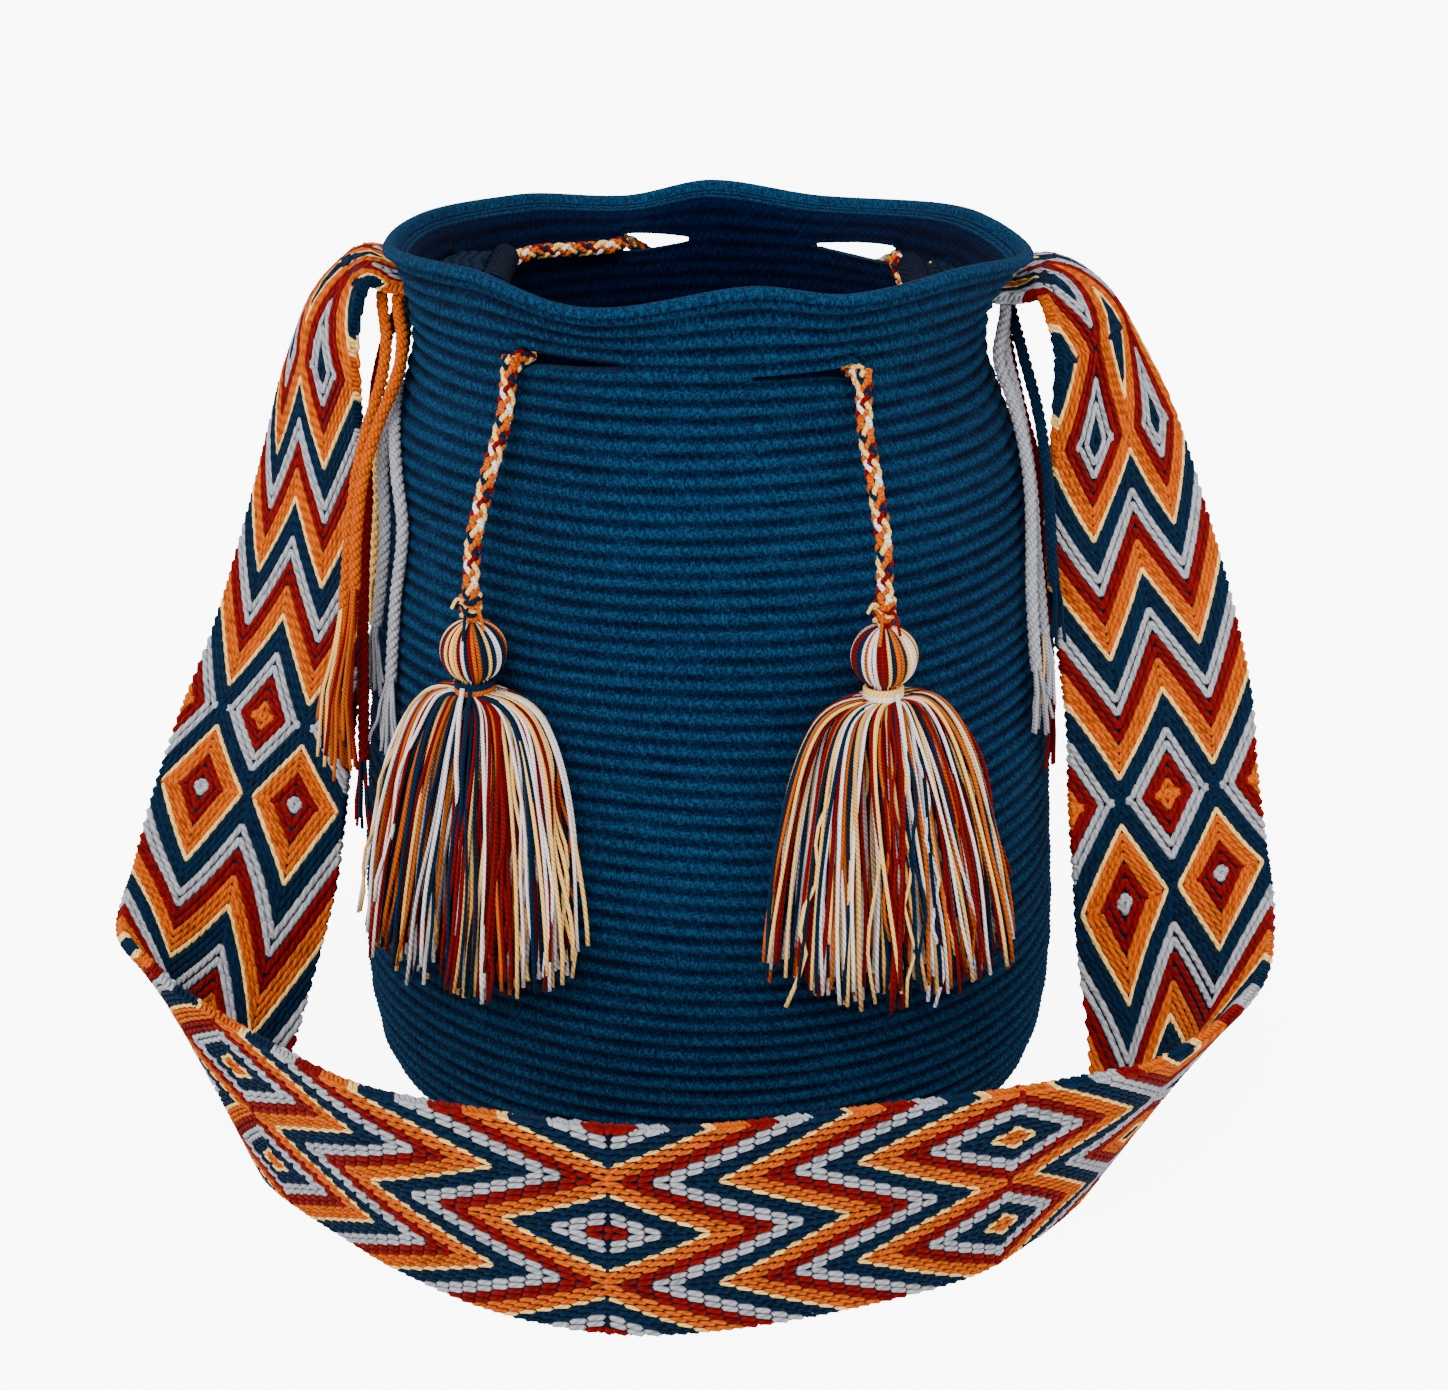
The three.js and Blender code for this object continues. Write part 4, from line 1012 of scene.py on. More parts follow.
class BAG_OT_body(bpy.types.Operator):
    """The crocheted body: rows of ridges, a rolled rim, drawstring slots and strap holes"""

    bl_idname = "bag.body"
    bl_label = "Body"

    def execute(self, context):
        sizes = context.scene.bag_sizes
        (ring, facing, count, relief), outer_first, inner_first = body_rings(sizes)
        rings = len(ring)
        bm = bmesh.new()
        bm.loops.layers.uv.new("UVMap")
        bmesh.ops.create_grid(bm, x_segments=COLUMNS, y_segments=rings - 1, size=1, calc_uvs=True)
        openings = slot_list()
        self.cut(bm, ring, openings, outer_first, inner_first)
        mesh = bpy.data.meshes.new("body")
        bm.to_mesh(mesh)
        bm.free()

        local = points_of(mesh)
        column = np.rint((local[:, 0] + 1) / 2 * COLUMNS).astype(int)
        level = np.rint((local[:, 1] + 1) / 2 * (rings - 1)).astype(int)
        set_points(mesh, self.places(column, level, ring, facing, count, relief, openings, sizes))
        self.set_map(mesh, count)
        self.set_sides(mesh, level, inner_first)
        bm = bmesh.new()
        bm.from_mesh(mesh)
        bmesh.ops.remove_doubles(bm, verts=bm.verts, dist=WELD * MM)
        bmesh.ops.recalc_face_normals(bm, faces=bm.faces)
        bm.to_mesh(mesh)
        bm.free()
        colours = context.scene.bag_colours
        outside = crocheted_cotton(
            "crocheted_cotton_navy", colours.crochet_groove_shade, colours.crochet, colours.crochet_light)
        # The inner side takes the darker copy of the crochet: painted shade
        inside = crocheted_cotton(
            "crocheted_cotton_navy_shaded_inside", colours.inside_shaded_dark, colours.inside, colours.inside_shaded_light)
        add_piece("crocheted_body", mesh, [outside, inside], "root", ["body"])
        return {"FINISHED"}

    def cut(self, bm, ring, openings, outer_first, inner_first):
        """Opens the grid at each slot, outside and inside, and joins the two edges through the wall."""
        rings = len(ring)
        faces = {}
        for face in bm.faces:
            middle = face.calc_center_median()
            column = int((middle.x + 1) / 2 * COLUMNS)
            level = int((middle.y + 1) / 2 * (rings - 1))
            faces[level, column] = face
        outer = np.arange(outer_first, inner_first - RIM_RINGS)
        inner = np.arange(inner_first, rings - 3)
        for first, last, z, _ in openings:
            span = (last - first + 180) % 360 - 180
            start = (min(0, span) + first - SEAM_BEARING) % 360
            columns = [int(start + k) % COLUMNS for k in range(int(abs(span)) + 1)]
            edges = []
            for levels in (outer, inner):
                middles = (ring[levels, 1] + ring[levels + 1, 1]) / 2
                level = levels[np.argmin(np.abs(middles - z))]
                strip = [faces.pop((level, c)) for c in columns]
                rim = {e for f in strip for e in f.edges}
                hole = set(strip)
                edges += [e for e in rim if not all(f in hole for f in e.link_faces)]
                bmesh.ops.delete(bm, geom=strip, context="FACES_ONLY")
            bare = [e for e in edges if e.is_valid and len(e.link_faces) == 1]
            bmesh.ops.bridge_loops(bm, edges=bare)
        loose = [e for e in bm.edges if not e.link_faces]
        bmesh.ops.delete(bm, geom=loose, context="EDGES")

    def places(self, column, level, ring, facing, count, relief, openings, sizes):
        """Where each point of the grid lies on the bag."""
        rng = np.random.default_rng(BODY_SEED)
        bearing = SEAM_BEARING + column * 360 / COLUMNS
        turn = np.radians(bearing)
        z = ring[level, 1]
        up = z / BAG_HEIGHT
        swell = np.sin(2 * turn + 0.6)
        swell = swell + 0.6 * np.sin(3 * turn + 5 * up) + 0.5 * np.sin(5 * turn - 7 * up + 1)
        tilt = ROW_TILT * swell * np.sin(math.pi * np.clip(up * 1.08, 0, 1)) ** 0.7
        row = np.floor(count[level])
        stitch = (column + row).astype(int) % 2
        uneven = rng.uniform(0.5, 1.4, (COLUMNS + 1, LUMP_ROWS))
        uneven[COLUMNS] = uneven[0]
        lump = uneven[column, np.clip(row, 0, LUMP_ROWS - 1).astype(int)]
        on_crest = np.clip(relief[level], 0, 1)
        swing = 0.85 + 0.3 * np.sin(6 * turn + 1.7 * row) * np.sin(2.3 * row + turn)
        stitches = sizes.stitch_relief * lump * on_crest * (2 * stitch - 1)
        out = sizes.row_relief * swing * relief[level] + stitches
        wobble = ROW_WOBBLE * np.sin(9 * turn + 2.1 * row) * on_crest
        scallop = np.where(relief[level] < 0, STITCH_DIP * (2 * stitch - 1) * lump, 0.0)
        r = ring[level, 0] + facing[level, 0] * (out + wobble)
        z = z + facing[level, 1] * (out + wobble)
        flat = np.clip(z / TILT_FOOT, 0, 1)
        under_rim = np.clip((BAG_HEIGHT - TILT_TOP - z) / TILT_FADE, 0, 1)
        z = opened(bearing, z + scallop, openings) + tilt * flat * under_rim
        level_z = np.clip(ring[level, 1], 0, BAG_HEIGHT)
        points = off_wall(bearing, r - wall_radius(level_z), level_z)
        points[:, 2] += z - level_z
        pole = ring[level, 0] < 0.1
        points[pole, :2] = 0
        points[:, 2] = np.maximum(points[:, 2], 0)
        return points

    def set_sides(self, mesh, level, inner_first):
        """Gives the faces inside the bag the second material, the crochet darkened as painted shade."""
        corner = np.empty(len(mesh.loops), np.int32)
        mesh.loops.foreach_get("vertex_index", corner)
        start = np.empty(len(mesh.polygons), np.int32)
        mesh.polygons.foreach_get("loop_start", start)
        lowest = np.minimum.reduceat(level[corner], start)
        mesh.polygons.foreach_set("material_index", (lowest >= inner_first).astype(np.int32))

    def set_map(self, mesh, count):
        """Map of the crochet: millimetres round the bag, and rows up it."""
        layer = mesh.uv_layers[0].data
        uv = np.empty(len(mesh.loops) * 2, np.float32)
        layer.foreach_get("uv", uv)
        uv = uv.reshape(-1, 2)
        uv[:, 0] *= 2 * math.pi * BELLY_RADIUS
        uv[:, 1] = count[np.rint(uv[:, 1] * (len(count) - 1)).astype(int)]
        layer.foreach_set("uv", uv.ravel())


# Strap
BAND_POINTS = 3000
BAND_STRIDE = 3
BAND_CUTS = ((0, 300), (1, 9))
BAND_HALF = 1.35
BAND_INSET = 2.4


class StrapBand:
    """The strap's middle surface: points and normals at a distance along it and a share across it."""

    def __init__(self):
        stations = self.stations()
        self.inner = spline([s[0] for s in stations], BAND_POINTS)
        self.outer = spline([s[1] for s in stations], BAND_POINTS)
        self.bow = spline([[s[2]] for s in stations], BAND_POINTS)[:, 0]
        self.along = travelled((self.inner + self.outer) / 2)
        self.length = self.along[-1]

    def stations(self):
        def way_in(sign, z):
            low, high = (STRAP_END_BACKSET + k * STRAP_END_WIDTH / 2 for k in (-1, 1))
            reach = [sign * (NECK_RADIUS + out) for out in (-STRAP_TUCK, -WALL, 2 * WALL)]
            return [(np.array([x, low, z]), np.array([x, high, z]), 0.0) for x in reach]

        def place(row, z):
            bearing, out, share, dx, dy, dz, bow = row
            height = share * z
            r = (BELLY_RADIUS if height < BELLY_HEIGHT else float(wall_radius(height))) + out
            turn = math.radians(bearing)
            inner = np.array([r * math.cos(turn), r * math.sin(turn), height])
            return inner, inner + STRAP_WIDTH * np.array([dx, dy, dz]), bow

        left, right = STRAP_Z["left"], STRAP_Z["right"]
        mirrored = [(-row[0], *row[1:]) for row in RIGHT_STATIONS]
        last = way_in(1, right) + [place(row, right) for row in mirrored]
        first = way_in(-1, left) + [place(row, left) for row in LEFT_STATIONS + FRONT_STATIONS]
        return first + last[::-1]

    def chord(self, at, across):
        k = np.clip(at, 0, len(self.inner) - 1.001)
        low = k.astype(int)
        w = (k - low)[:, None]
        inner = self.inner[low] * (1 - w) + self.inner[low + 1] * w
        outer = self.outer[low] * (1 - w) + self.outer[low + 1] * w
        return inner + (outer - inner) * across[:, None], outer - inner

    def at(self, s, across):
        """Points and normals at distances along the strap and shares across it."""
        k = np.interp(s, self.along, np.arange(len(self.along)))
        point, over = self.chord(k, across)
        ahead = self.chord(k + BAND_STRIDE, across)[0] - self.chord(k - BAND_STRIDE, across)[0]
        normal = unit(np.cross(over, ahead))
        bow = np.interp(k, np.arange(len(self.bow)), self.bow) * 4 * across * (1 - across)
        return point + normal * bow[:, None], normal


PLAIT_STITCHES = 8
PLAIT_GRAIN_HEIGHT = 2.1
# Stitches run on along the chevrons at the sides, and lie apart, more along the strap, round the front
PLAIT_FRONT = [(330, 0), (400, 1), (685, 1), (760, 0)]
PLAIT_LEAN = (0.85, 0.6)
PLAIT_COVER = (1.4, 1.07)
PLAIT_WIDTH = (1.3, 1.2)
# Stitches of the faces: longest half, margin, lift, unevenness, widths, and each face's side and seed
PLAIT_LONGEST = 4
PLAIT_MARGIN = 0.012
PLAIT_LIFT = 0.15
PLAIT_UNEVEN = 0.12
PLAIT_WIDTHS = (1.1, 2.9)
PLAIT_FACES = {"outer": (1, 11), "inner": (-1, 12)}
# Stitches over the strap's edges: their spacing, slant, reach past the band's faces, inset, width and height
EDGE_STEP = 1.9
EDGE_SLANT = 1.3
EDGE_REACH = 0.75
EDGE_INSET = 0.9
EDGE_WIDTH = 2.2
EDGE_HEIGHT = 2.4
EDGE_SEED = 13
# A hem is one yarn wound closely round a core
HEM_STEPS = 400
HEM_YARN_RADIUS = 1.2
HEM_PITCH = 2.3
HEM_CORE_INSET = 1.4
HEM_SHADES = (0.3, 0.0)


def plait_lines():
    """Each cord of one repeat: where it lies in the repeat, its share of it and its colour."""
    lines = []
    start = 0.0
    for colour, cords, share in PLAIT_COLOURS:
        for k in range(cords):
            lines.append((start + (k + 0.5) * share / cords, share / cords, YARNS.index(colour)))
        start += share
    return lines


def plait_stitches():
    """Ends of every stitch of the plait as distance along and share across, with its width and colour."""
    found = []
    lines = plait_lines()
    nodes = np.linspace(0, 1, PLAIT_STITCHES + 1)
    middles = (nodes[1:] + nodes[:-1]) / 2
    quarters = [(0.0, 0.25), (0.5, 0.25), (0.5, 0.75), (1.0, 0.75)]
    for (s0, t0, a0), (s1, t1, a1) in zip(PLAIT_TURNS, PLAIT_TURNS[1:]):
        low = math.floor(min(t0, t1)) - 1
        high = math.ceil(max(t0 + a0, t1 + a1)) + 1
        places = np.array([
            (n + at, share, colour) for n in range(low, high) for at, share, colour in lines])
        share_along = []
        for f in (nodes, middles):
            first, last = t0 + a0 * f, t1 + a1 * f
            share_along.append((places[:, :1] - first) / (last - first))
        ends, centre = share_along
        spare = 1.2 / (s1 - s0)
        shown = (centre > -spare) & (centre < 1 + spare)
        s_nodes = s0 + (s1 - s0) * np.clip(ends, -spare, 1 + spare)
        slope = np.abs((t1 + a1 / 2) - (t0 + a0 / 2)) / (s1 - s0)
        for edge, peak in quarters:
            v_nodes = edge + (peak - edge) * nodes
            row, k = np.nonzero(shown)
            found.append(np.stack([
                s_nodes[row, k], s_nodes[row, k + 1], v_nodes[k], v_nodes[k + 1],
                places[row, 1] / slope, places[row, 2]], axis=-1))
    return np.concatenate(found)


def edge_colours(s):
    """Colour of the plait where it wraps over the strap's edge."""
    turns = np.array(PLAIT_TURNS, float)
    at = np.interp(s, turns[:, 0], turns[:, 1]) % 1
    bounds = np.cumsum([share for _, _, share in PLAIT_COLOURS])
    order = np.array([YARNS.index(colour) for colour, _, _ in PLAIT_COLOURS])
    return order[np.minimum(np.searchsorted(bounds, at, side="right"), len(order) - 1)]


class BAG_OT_strap(bpy.types.Operator):
    """The plaited strap: a band, its stitches on both faces and the wrapped stitches of its edges"""

    bl_idname = "bag.strap"
    bl_label = "Strap"

    def execute(self, context):
        band = StrapBand()
        core = self.core(band)
        faces = [self.face(band, name, sign, seed) for name, (sign, seed) in PLAIT_FACES.items()]
        edges = self.edges(band)
        self.hems()
        return {"FINISHED"}

    def core(self, band):
        """The band that carries the stitches, darkest navy so that it shows as painted shade between them.
        """
        bm = bmesh.new()
        bm.loops.layers.uv.new("UVMap")
        bmesh.ops.create_cube(bm, size=1, calc_uvs=True)
        for axis, cuts in BAND_CUTS:
            span = [e for e in bm.edges if abs(e.verts[0].co[axis] - e.verts[1].co[axis]) > 0.5]
            bmesh.ops.subdivide_edges(bm, edges=span, cuts=cuts, use_grid_fill=True)
        mesh = bpy.data.meshes.new("band")
        bm.to_mesh(mesh)
        bm.free()
        local = points_of(mesh)
        across = 0.5 + local[:, 1] * (1 - BAND_INSET / STRAP_WIDTH)
        point, normal = band.at((local[:, 0] + 0.5) * band.length, across)
        points = point + normal * (local[:, 2:] * 2 * BAND_HALF)
        points[:, 2] = np.maximum(points[:, 2], 0)
        set_points(mesh, points)
        # Painted shade: the band is darkest navy where it shows between the stitches
        set_shade(mesh, np.zeros(len(points)))
        navy = np.full(len(mesh.polygons), YARNS.index("navy"), np.int32)
        mesh.polygons.foreach_set("material_index", navy)
        return add_piece("strap_band", mesh, yarn_materials(), "root", ["strap"])

    def face(self, band, name, sign, seed):
        """The stitches of one face."""
        s0, s1, v0, v1, width, colour = plait_stitches().T
        rng = np.random.default_rng(seed)
        middle_s, middle_v = (s0 + s1) / 2, (v0 + v1) / 2
        turns = np.array(PLAIT_FRONT, float)
        front = np.interp(middle_s, turns[:, 0], turns[:, 1])
        slant, cover, fat = (a + (b - a) * front for a, b in (PLAIT_LEAN, PLAIT_COVER, PLAIT_WIDTH))
        half_s = np.clip((s1 - s0) / 2, -PLAIT_LONGEST, PLAIT_LONGEST) * cover
        half_v = (v1 - v0) / 2 * cover * slant
        middle_v = np.clip(middle_v, PLAIT_MARGIN, 1 - PLAIT_MARGIN)
        starts, normal = band.at(middle_s - half_s, np.clip(middle_v - half_v, 0, 1))
        ends, _ = band.at(middle_s + half_s, np.clip(middle_v + half_v, 0, 1))
        lift = sign * (BAND_HALF + PLAIT_LIFT + rng.uniform(-PLAIT_UNEVEN, PLAIT_UNEVEN, len(s0)))
        starts = starts + normal * lift[:, None]
        ends = ends + normal * lift[:, None]
        run = np.abs(s1 - s0)
        over = np.abs(v1 - v0) * STRAP_WIDTH
        lean = over / np.maximum(np.hypot(run, over), 1e-6)
        widths = np.clip(width * lean * fat, *PLAIT_WIDTHS)
        shade = np.clip(rng.normal(0.5, 0.17, len(s0)), 0, 1)
        # Painted shade: stitches tucked inside the bag are made darkest navy
        tucked_in_shade = np.minimum(middle_s, band.length - middle_s) < STRAP_TUCK
        colour = np.where(tucked_in_shade, YARNS.index("navy"), colour)
        shade = np.where(tucked_in_shade, 0, shade)
        mesh = grains(starts, ends, normal, widths, PLAIT_GRAIN_HEIGHT, colour.astype(int), shade)
        return add_piece(f"strap_plait_{name}", mesh, yarn_materials(), "root")

    def edges(self, band):
        """Stitches that wrap over the two edges from face to face."""
        rng = np.random.default_rng(EDGE_SEED)
        s = np.arange(1.0, band.length - 1, EDGE_STEP)
        parts = []
        for across, sign in ((0.0, -1), (1.0, 1)):
            v = np.full(len(s), across)
            point, normal = band.at(s, v)
            nearby, _ = band.at(s, np.full(len(s), 0.5))
            outwards = unit(point - nearby)
            ahead = unit(np.cross(normal, outwards))
            skew = ahead * EDGE_SLANT * sign
            reach = BAND_HALF + EDGE_REACH
            starts = point + normal * reach - skew - outwards * EDGE_INSET
            ends = point - normal * reach + skew - outwards * EDGE_INSET
            shade = np.clip(rng.normal(0.5, 0.14, len(s)), 0, 1)
            parts.append((starts, ends, outwards, edge_colours(s), shade))
        starts, ends, outwards, colours, shade = (np.concatenate(p) for p in zip(*parts))
        mesh = grains(starts, ends, outwards, np.full(len(starts), EDGE_WIDTH), EDGE_HEIGHT, colours, shade)
        return add_piece("strap_edges", mesh, yarn_materials(), "root")

    def hems(self):
        """Wound rolls inside the neck that keep the strap's ends in, in the inside's painted-shade colours.
        """
        colours = bpy.context.scene.bag_colours
        # The hems take the inside's darkened colours, and a darkest core: painted shade
        dark = cotton_yarn("cotton_yarn_hem_shaded", colours.inside, colours.inside_shaded_dark)
        for side, sign in (("left", -1), ("right", 1)):
            x = sign * (NECK_RADIUS - STRAP_TUCK - FIT_GAP - HEM_DIAMETER / 2)
            low, high = (STRAP_END_BACKSET + k * (STRAP_END_WIDTH / 2 - HEM_YARN_RADIUS) for k in (-1, 1))
            across = np.linspace(low, high, HEM_STEPS)
            line = np.stack([np.full(HEM_STEPS, x), across, np.full(HEM_STEPS, STRAP_Z[side])], axis=-1)
            wound = twisted(line, 1, HEM_DIAMETER / 2 - HEM_YARN_RADIUS, HEM_PITCH)
            paths = np.concatenate([wound, line[None]])
            radii = np.array([HEM_YARN_RADIUS, HEM_DIAMETER / 2 - HEM_CORE_INSET])
            mesh = swept(paths, radii, [0, 0], shade=np.array(HEM_SHADES))
            add_piece(f"{side}_hem_roll", mesh, [dark], "root", [f"{side}_strap_hem"])


# Tassels
TASSEL_SEEDS = {"left": 21, "right": 22}
# A knot: turns of its yarns, where each starts, and where its loose tails bend and end
KNOT_STEPS = 48
KNOT_TURNS = 1.6
KNOT_STARTS = (0.0, 2.1, 4.2)
KNOT_REACH = 2.7
KNOT_YARN_RADIUS = 1.15
KNOT_TAIL_RADIUS = 0.6
KNOT_TAILS = [((-4, -4, 4), (-6, -5, 1)), ((3, -5, 1), (5, -8, -6)), ((-1, -6, 0), (-2, -10, -9))]
KNOT_COLOURS = {"left": ("cream", "orange", "navy"), "right": ("cream", "red", "orange")}
KNOT_SHADES = (0.5, 0.5, 0.4)
# A head: yarns from near its top to its neck, which is this far out at its last two steps
HEAD_STEPS = 22
HEAD_TOP_TURN = 0.1
HEAD_FOOT_TURN = 0.42
HEAD_NECK = (5.0, 4.6)
HEAD_SLANT = 0.12
HEAD_YARNS = 48
HEAD_MIX = {"cream": 0.26, "white": 0.2, "orange": 0.22, "red": 0.14, "navy": 0.18}
SKIRT_MIX = {"orange": 0.14, "red": 0.3, "cream": 0.15, "white": 0.22, "navy": 0.19}
SKIRT_STEPS = 22
SKIRT_SPREAD = 1.11
# How much shorter a skirt is towards the front's middle and away from it; shares of short and curly yarns
SKIRT_TRIM = (0.17, 0.03)
SKIRT_SHORT = 0.06
SKIRT_CURLY = 0.12
SKIRT_CURL = 2.4
# A binding: its turns, the height and reach of its two yarns, and their colours
BINDING_STEPS = 70
BINDING_TURNS = 3
BINDING_LIFTS = (3.1, 1.3)
BINDING_REACH = 6.2
BINDING_YARN_RADIUS = 0.9
BINDING_SHADE = 0.55
BINDING_COLOURS = {"left": ("navy", "orange"), "right": ("cream", "white")}
# Ends of the binding that hang over the front of the skirt: lengths, and how far out they are at each drop
HANGING_ENDS = {"left": (112, 92), "right": (88,)}
HANGING_COLOURS = ("white", "navy")
HANGING_DROPS = [0, 8, 25, 60, 110]
HANGING_REACH = [7.2, 9.6, 13.0, 14.6, 14.6]


def chosen(rng, mix, count):
    """Yarn colours drawn from a mix."""
    names = list(mix)
    weights = np.array([mix[n] for n in names])
    drawn = rng.choice(len(names), count, p=weights / weights.sum())
    return np.array([YARNS.index(names[k]) for k in drawn])


class BAG_OT_tassels(bpy.types.Operator):
    """Each hanging leg with its knot, yarn-wrapped head, binding and skirt of loose yarns"""

    bl_idname = "bag.tassels"
    bl_label = "Tassels"

    def execute(self, context):
        sizes = context.scene.bag_sizes
        for side, seed in TASSEL_SEEDS.items():
            rng = np.random.default_rng(seed)
            leg = leg_path(side)
            head_top = head_height(side)
            bearing = sum(TASSELS[side])
            axis = off_wall(bearing, head_distance(head_top), head_top)
            knot = self.knot(side, leg[-1])
            head = self.head(side, axis, head_top, sizes, rng)
            binding = self.binding(side, axis, head_top)
            skirt = self.skirt(side, bearing, head_top, sizes, rng)
            foot = head_top - HEAD_DIAMETER - HEAD_NECK_LENGTH
            through = np.linspace(axis, (axis[0], axis[1], foot), 30)
            whole = np.concatenate([leg, through])
            braid = braid_mesh(whole, sizes.braid_pitch)
            cord = add_piece(
                f"{side}_leg_braid", braid, yarn_materials(), f"{side}_tassel",
                [f"{side}_cord_leg"])
        return {"FINISHED"}

    def knot(self, side, foot):
        """A small overhand knot: yarns wound a turn and a half under the braid, with loose tails."""
        centre = foot + np.array([0, 0, -KNOT_HEIGHT / 2 - FIT_GAP])
        t = np.linspace(0, 1, KNOT_STEPS)
        paths = []
        for k, tip in enumerate(KNOT_STARTS):
            turn = 2 * math.pi * KNOT_TURNS * t + tip
            reach = KNOT_REACH + 0.5 * np.sin(3 * turn)
            height = KNOT_HEIGHT * (0.42 - 0.84 * t) + 1.1 * np.sin(2 * turn + k)
            paths.append(centre + np.stack([reach * np.cos(turn), reach * np.sin(turn), height], axis=-1))
        for middle, end in KNOT_TAILS:
            tail = spline([centre, centre + np.array(middle), centre + np.array(end)], 60)
            paths.append(even(tail, KNOT_STEPS))
        colours = [YARNS.index(n) for n in KNOT_COLOURS[side]]
        radii = np.array([KNOT_YARN_RADIUS] * len(KNOT_STARTS) + [KNOT_TAIL_RADIUS] * len(KNOT_TAILS))
        mesh = swept(paths, radii, colours * 2, shade=np.array(KNOT_SHADES * 2))
        return add_piece(
            f"{side}_knot_yarns", mesh, yarn_materials(), f"{side}_tassel",
            [f"{side}_tassel_knot"])

    def head(self, side, axis, head_top, sizes, rng):
        """Yarns laid from pole to pole over a ball, gathered at its foot; the ball is darkest navy, painted
        shade between the yarns.
        """
        half = HEAD_DIAMETER / 2
        yarn = sizes.yarn / 2
        foot = head_top - HEAD_DIAMETER - HEAD_NECK_LENGTH
        turn = np.linspace(HEAD_TOP_TURN, math.pi - HEAD_FOOT_TURN, HEAD_STEPS)
        ball = half - yarn
        reach = ball * np.sin(turn)
        z = head_top - half + ball * np.cos(turn)
        reach[-2:] = HEAD_NECK
        z[-1] = foot + 0.5
        around = 2 * math.pi * (np.arange(HEAD_YARNS) + rng.uniform(-0.25, 0.25, HEAD_YARNS)) / HEAD_YARNS
        twist = np.linspace(-HEAD_SLANT, HEAD_SLANT, HEAD_STEPS)
        angle = around[:, None] + twist
        paths = np.stack([
            axis[0] + reach * np.cos(angle), axis[1] + reach * np.sin(angle),
            np.broadcast_to(z, angle.shape)], axis=-1)
        thick = yarn * np.clip(0.45 + 0.7 * np.sin(turn), 0.5, 1.05)
        core = np.stack([np.full(HEAD_STEPS, axis[0]), np.full(HEAD_STEPS, axis[1]), z], axis=-1)
        radii = np.concatenate([np.tile(thick, (HEAD_YARNS, 1)), np.maximum(reach - 0.4, 0.3)[None]])
        colours = np.concatenate([chosen(rng, HEAD_MIX, HEAD_YARNS), [YARNS.index("navy")]])
        shade = np.concatenate([np.clip(rng.normal(0.5, 0.25, HEAD_YARNS), 0, 1), [CORE_GAP_SHADE]])
        mesh = swept(np.concatenate([paths, core[None]]), radii, colours, sides=8, shade=shade)
        return add_piece(
            f"{side}_head_wrap", mesh, yarn_materials(), f"{side}_tassel",
            [f"{side}_tassel_head"])

    def binding(self, side, axis, head_top):
        """Yarn wound round the foot of the head, its end left hanging."""
        foot = head_top - HEAD_DIAMETER - HEAD_NECK_LENGTH
        t = np.linspace(0, 1, BINDING_STEPS)
        paths = []
        for k, lift in enumerate(BINDING_LIFTS):
            turn = 2 * math.pi * BINDING_TURNS * t + k * 2
            height = foot + lift - 1.2 + 1.6 * t
            reach = BINDING_REACH + 0.25 * np.sin(2 * turn)
            paths.append(np.stack([
                axis[0] + reach * np.cos(turn), axis[1] + reach * np.sin(turn), height], axis=-1))
        away = unit(np.array([axis[0], axis[1], 0]))
        beside = np.array([-away[1], away[0], 0])
        for k, drop in enumerate(HANGING_ENDS[side]):
            reach = np.interp(drop * t, HANGING_DROPS, HANGING_REACH)
            sideways = 1.0 + 1.8 * k + 2.2 * np.sin(2.4 * t + k)
            line = axis + reach[:, None] * away + sideways[:, None] * beside
            line[:, 2] = foot + 3 - drop * t
            paths.append(line)
        names = BINDING_COLOURS[side] + HANGING_COLOURS[:len(HANGING_ENDS[side])]
        radii = np.full(len(paths), BINDING_YARN_RADIUS)
        shade = np.full(len(paths), BINDING_SHADE)
        mesh = swept(paths, radii, [YARNS.index(n) for n in names], shade=shade)
        return add_piece(
            f"{side}_binding_yarn", mesh, yarn_materials(), f"{side}_tassel",
            [f"{side}_tassel_binding"])

    def skirt(self, side, bearing, head_top, sizes, rng):
        """Loose yarns that arch out from under the binding and hang against the wall."""
        count = sizes.skirt_strands
        head_out = head_distance(head_top)
        top = head_top - HEAD_DIAMETER - HEAD_NECK_LENGTH - FIT_GAP
        t = np.linspace(0, 1, SKIRT_STEPS) ** 2
        angle = 2 * math.pi * (np.arange(count) + rng.uniform(0, 1, count)) / count
        share = np.sqrt(rng.uniform(0.1, 1, count))
        drift = rng.normal(0, 0.14, count)
        inwards = share * np.cos(angle) * (1 if side == "left" else -1)
        trim = np.where(inwards > 0, *SKIRT_TRIM) * inwards ** 2
        ends = 1.01 - trim + rng.uniform(-0.07, 0.04, count)
        short = rng.uniform(0, 1, count) < SKIRT_SHORT
        ends = np.where(short, ends * rng.uniform(0.7, 0.92, count), ends)
        down = ends[:, None] * t
        spread = down ** SKIRT_BELL
        full = SKIRT_SPREAD * SKIRT_WIDTH
        wide = (SKIRT_TOP_WIDTH + (full - SKIRT_TOP_WIDTH) * spread) / 2 - sizes.yarn / 2
        deep = (SKIRT_TOP_WIDTH + (SKIRT_DEPTH - SKIRT_TOP_WIDTH) * spread) / 2 - sizes.yarn / 2
        z = top - SKIRT_LENGTH * down
        on_wall = TASSEL_CLEARANCE + deep + sizes.yarn / 2
        wall = wall_radius(z)
        under = wall_radius(head_top) + head_out - wall
        out = np.maximum(on_wall, under * (1 - spread) + on_wall * spread)
        turned = angle[:, None] + drift[:, None] * down
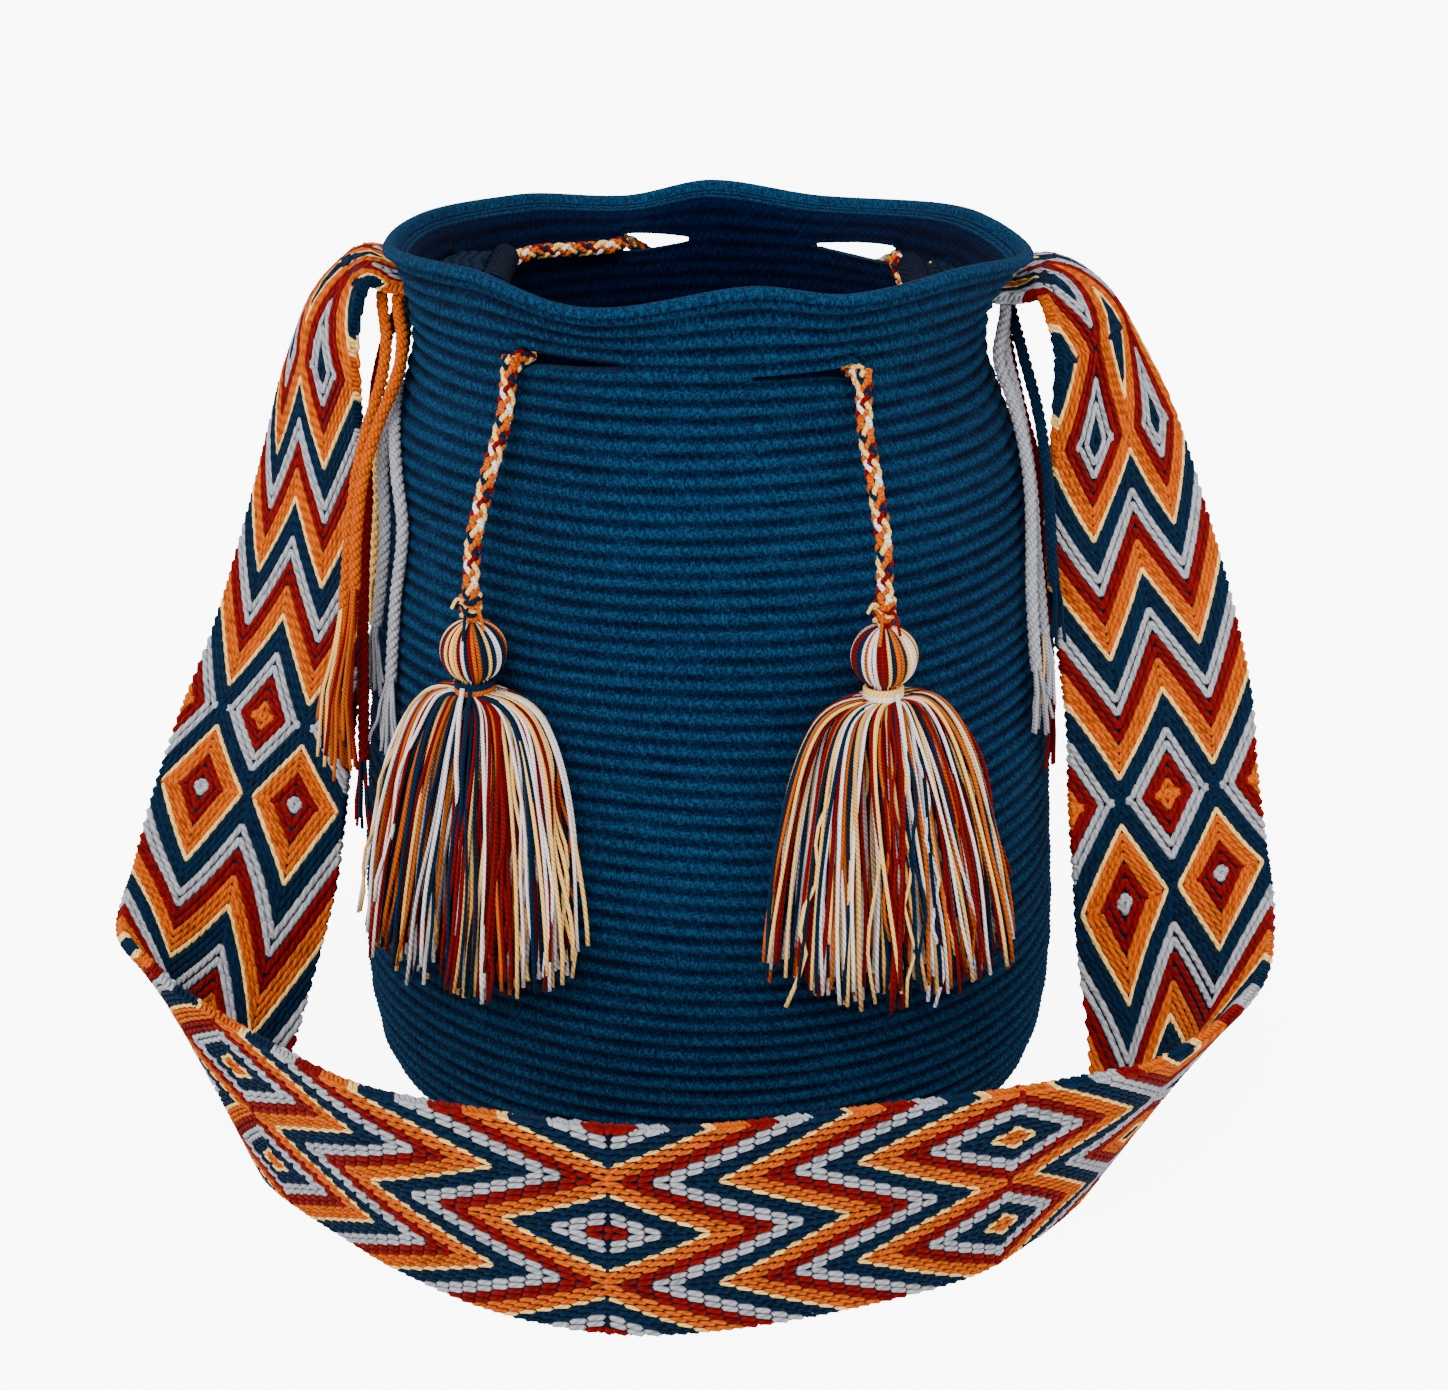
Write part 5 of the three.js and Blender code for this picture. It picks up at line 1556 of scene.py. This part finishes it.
        waves = rng.uniform(0.6, 1.6, (count, 1))
        curl = np.where(rng.uniform(0, 1, (count, 1)) < SKIRT_CURLY, SKIRT_CURL, 1.0)
        sway = curl * np.sin(2 * math.pi * (down * waves * curl + rng.uniform(0, 1, (count, 1))))
        along = wide * share[:, None] * np.cos(turned) + sway * down ** 0.5
        across = deep * share[:, None] * np.sin(turned)
        paths = off_wall(bearing + np.degrees(along / (wall + out)), out + across, z)
        colours = chosen(rng, SKIRT_MIX, count)
        shade = np.clip(rng.normal(0.5, 0.2, count), 0, 1)
        radii = sizes.yarn / 2 * rng.uniform(0.85, 1.1, count)
        mesh = swept(paths, radii, colours, shade=shade)
        return add_piece(
            f"{side}_skirt_yarns", mesh, yarn_materials(), f"{side}_tassel",
            [f"{side}_tassel_skirt"])


class BAG_PT_panel(bpy.types.Panel):
    """Lists the pieces of the bag in the sidebar"""

    bl_idname = "BAG_PT_panel"
    bl_label = "Bucket Bag"
    bl_space_type = "VIEW_3D"
    bl_region_type = "UI"
    bl_category = "Bag"

    def draw(self, context):
        for operator in OPERATORS:
            self.layout.operator(operator.bl_idname)


OPERATORS = [BAG_OT_stage, BAG_OT_drawstring, BAG_OT_fringe, BAG_OT_body, BAG_OT_strap, BAG_OT_tassels]
GROUPS = {"bag_colours": BagColours, "bag_sizes": BagSizes, "bag_stage": BagStage}


def register():
    for made in (*GROUPS.values(), *OPERATORS, BAG_PT_panel):
        bpy.utils.register_class(made)
    for name, group in GROUPS.items():
        setattr(bpy.types.Scene, name, bpy.props.PointerProperty(type=group))


def unregister():
    for name in GROUPS:
        delattr(bpy.types.Scene, name)
    for made in (BAG_PT_panel, *reversed(OPERATORS), *reversed(list(GROUPS.values()))):
        bpy.utils.unregister_class(made)


def main():
    register()
    bpy.ops.bag.stage()
    bpy.ops.bag.drawstring()
    bpy.ops.bag.fringe()
    bpy.ops.bag.body()
    bpy.ops.bag.strap()
    bpy.ops.bag.tassels()


if __name__ == "__main__":
    main()
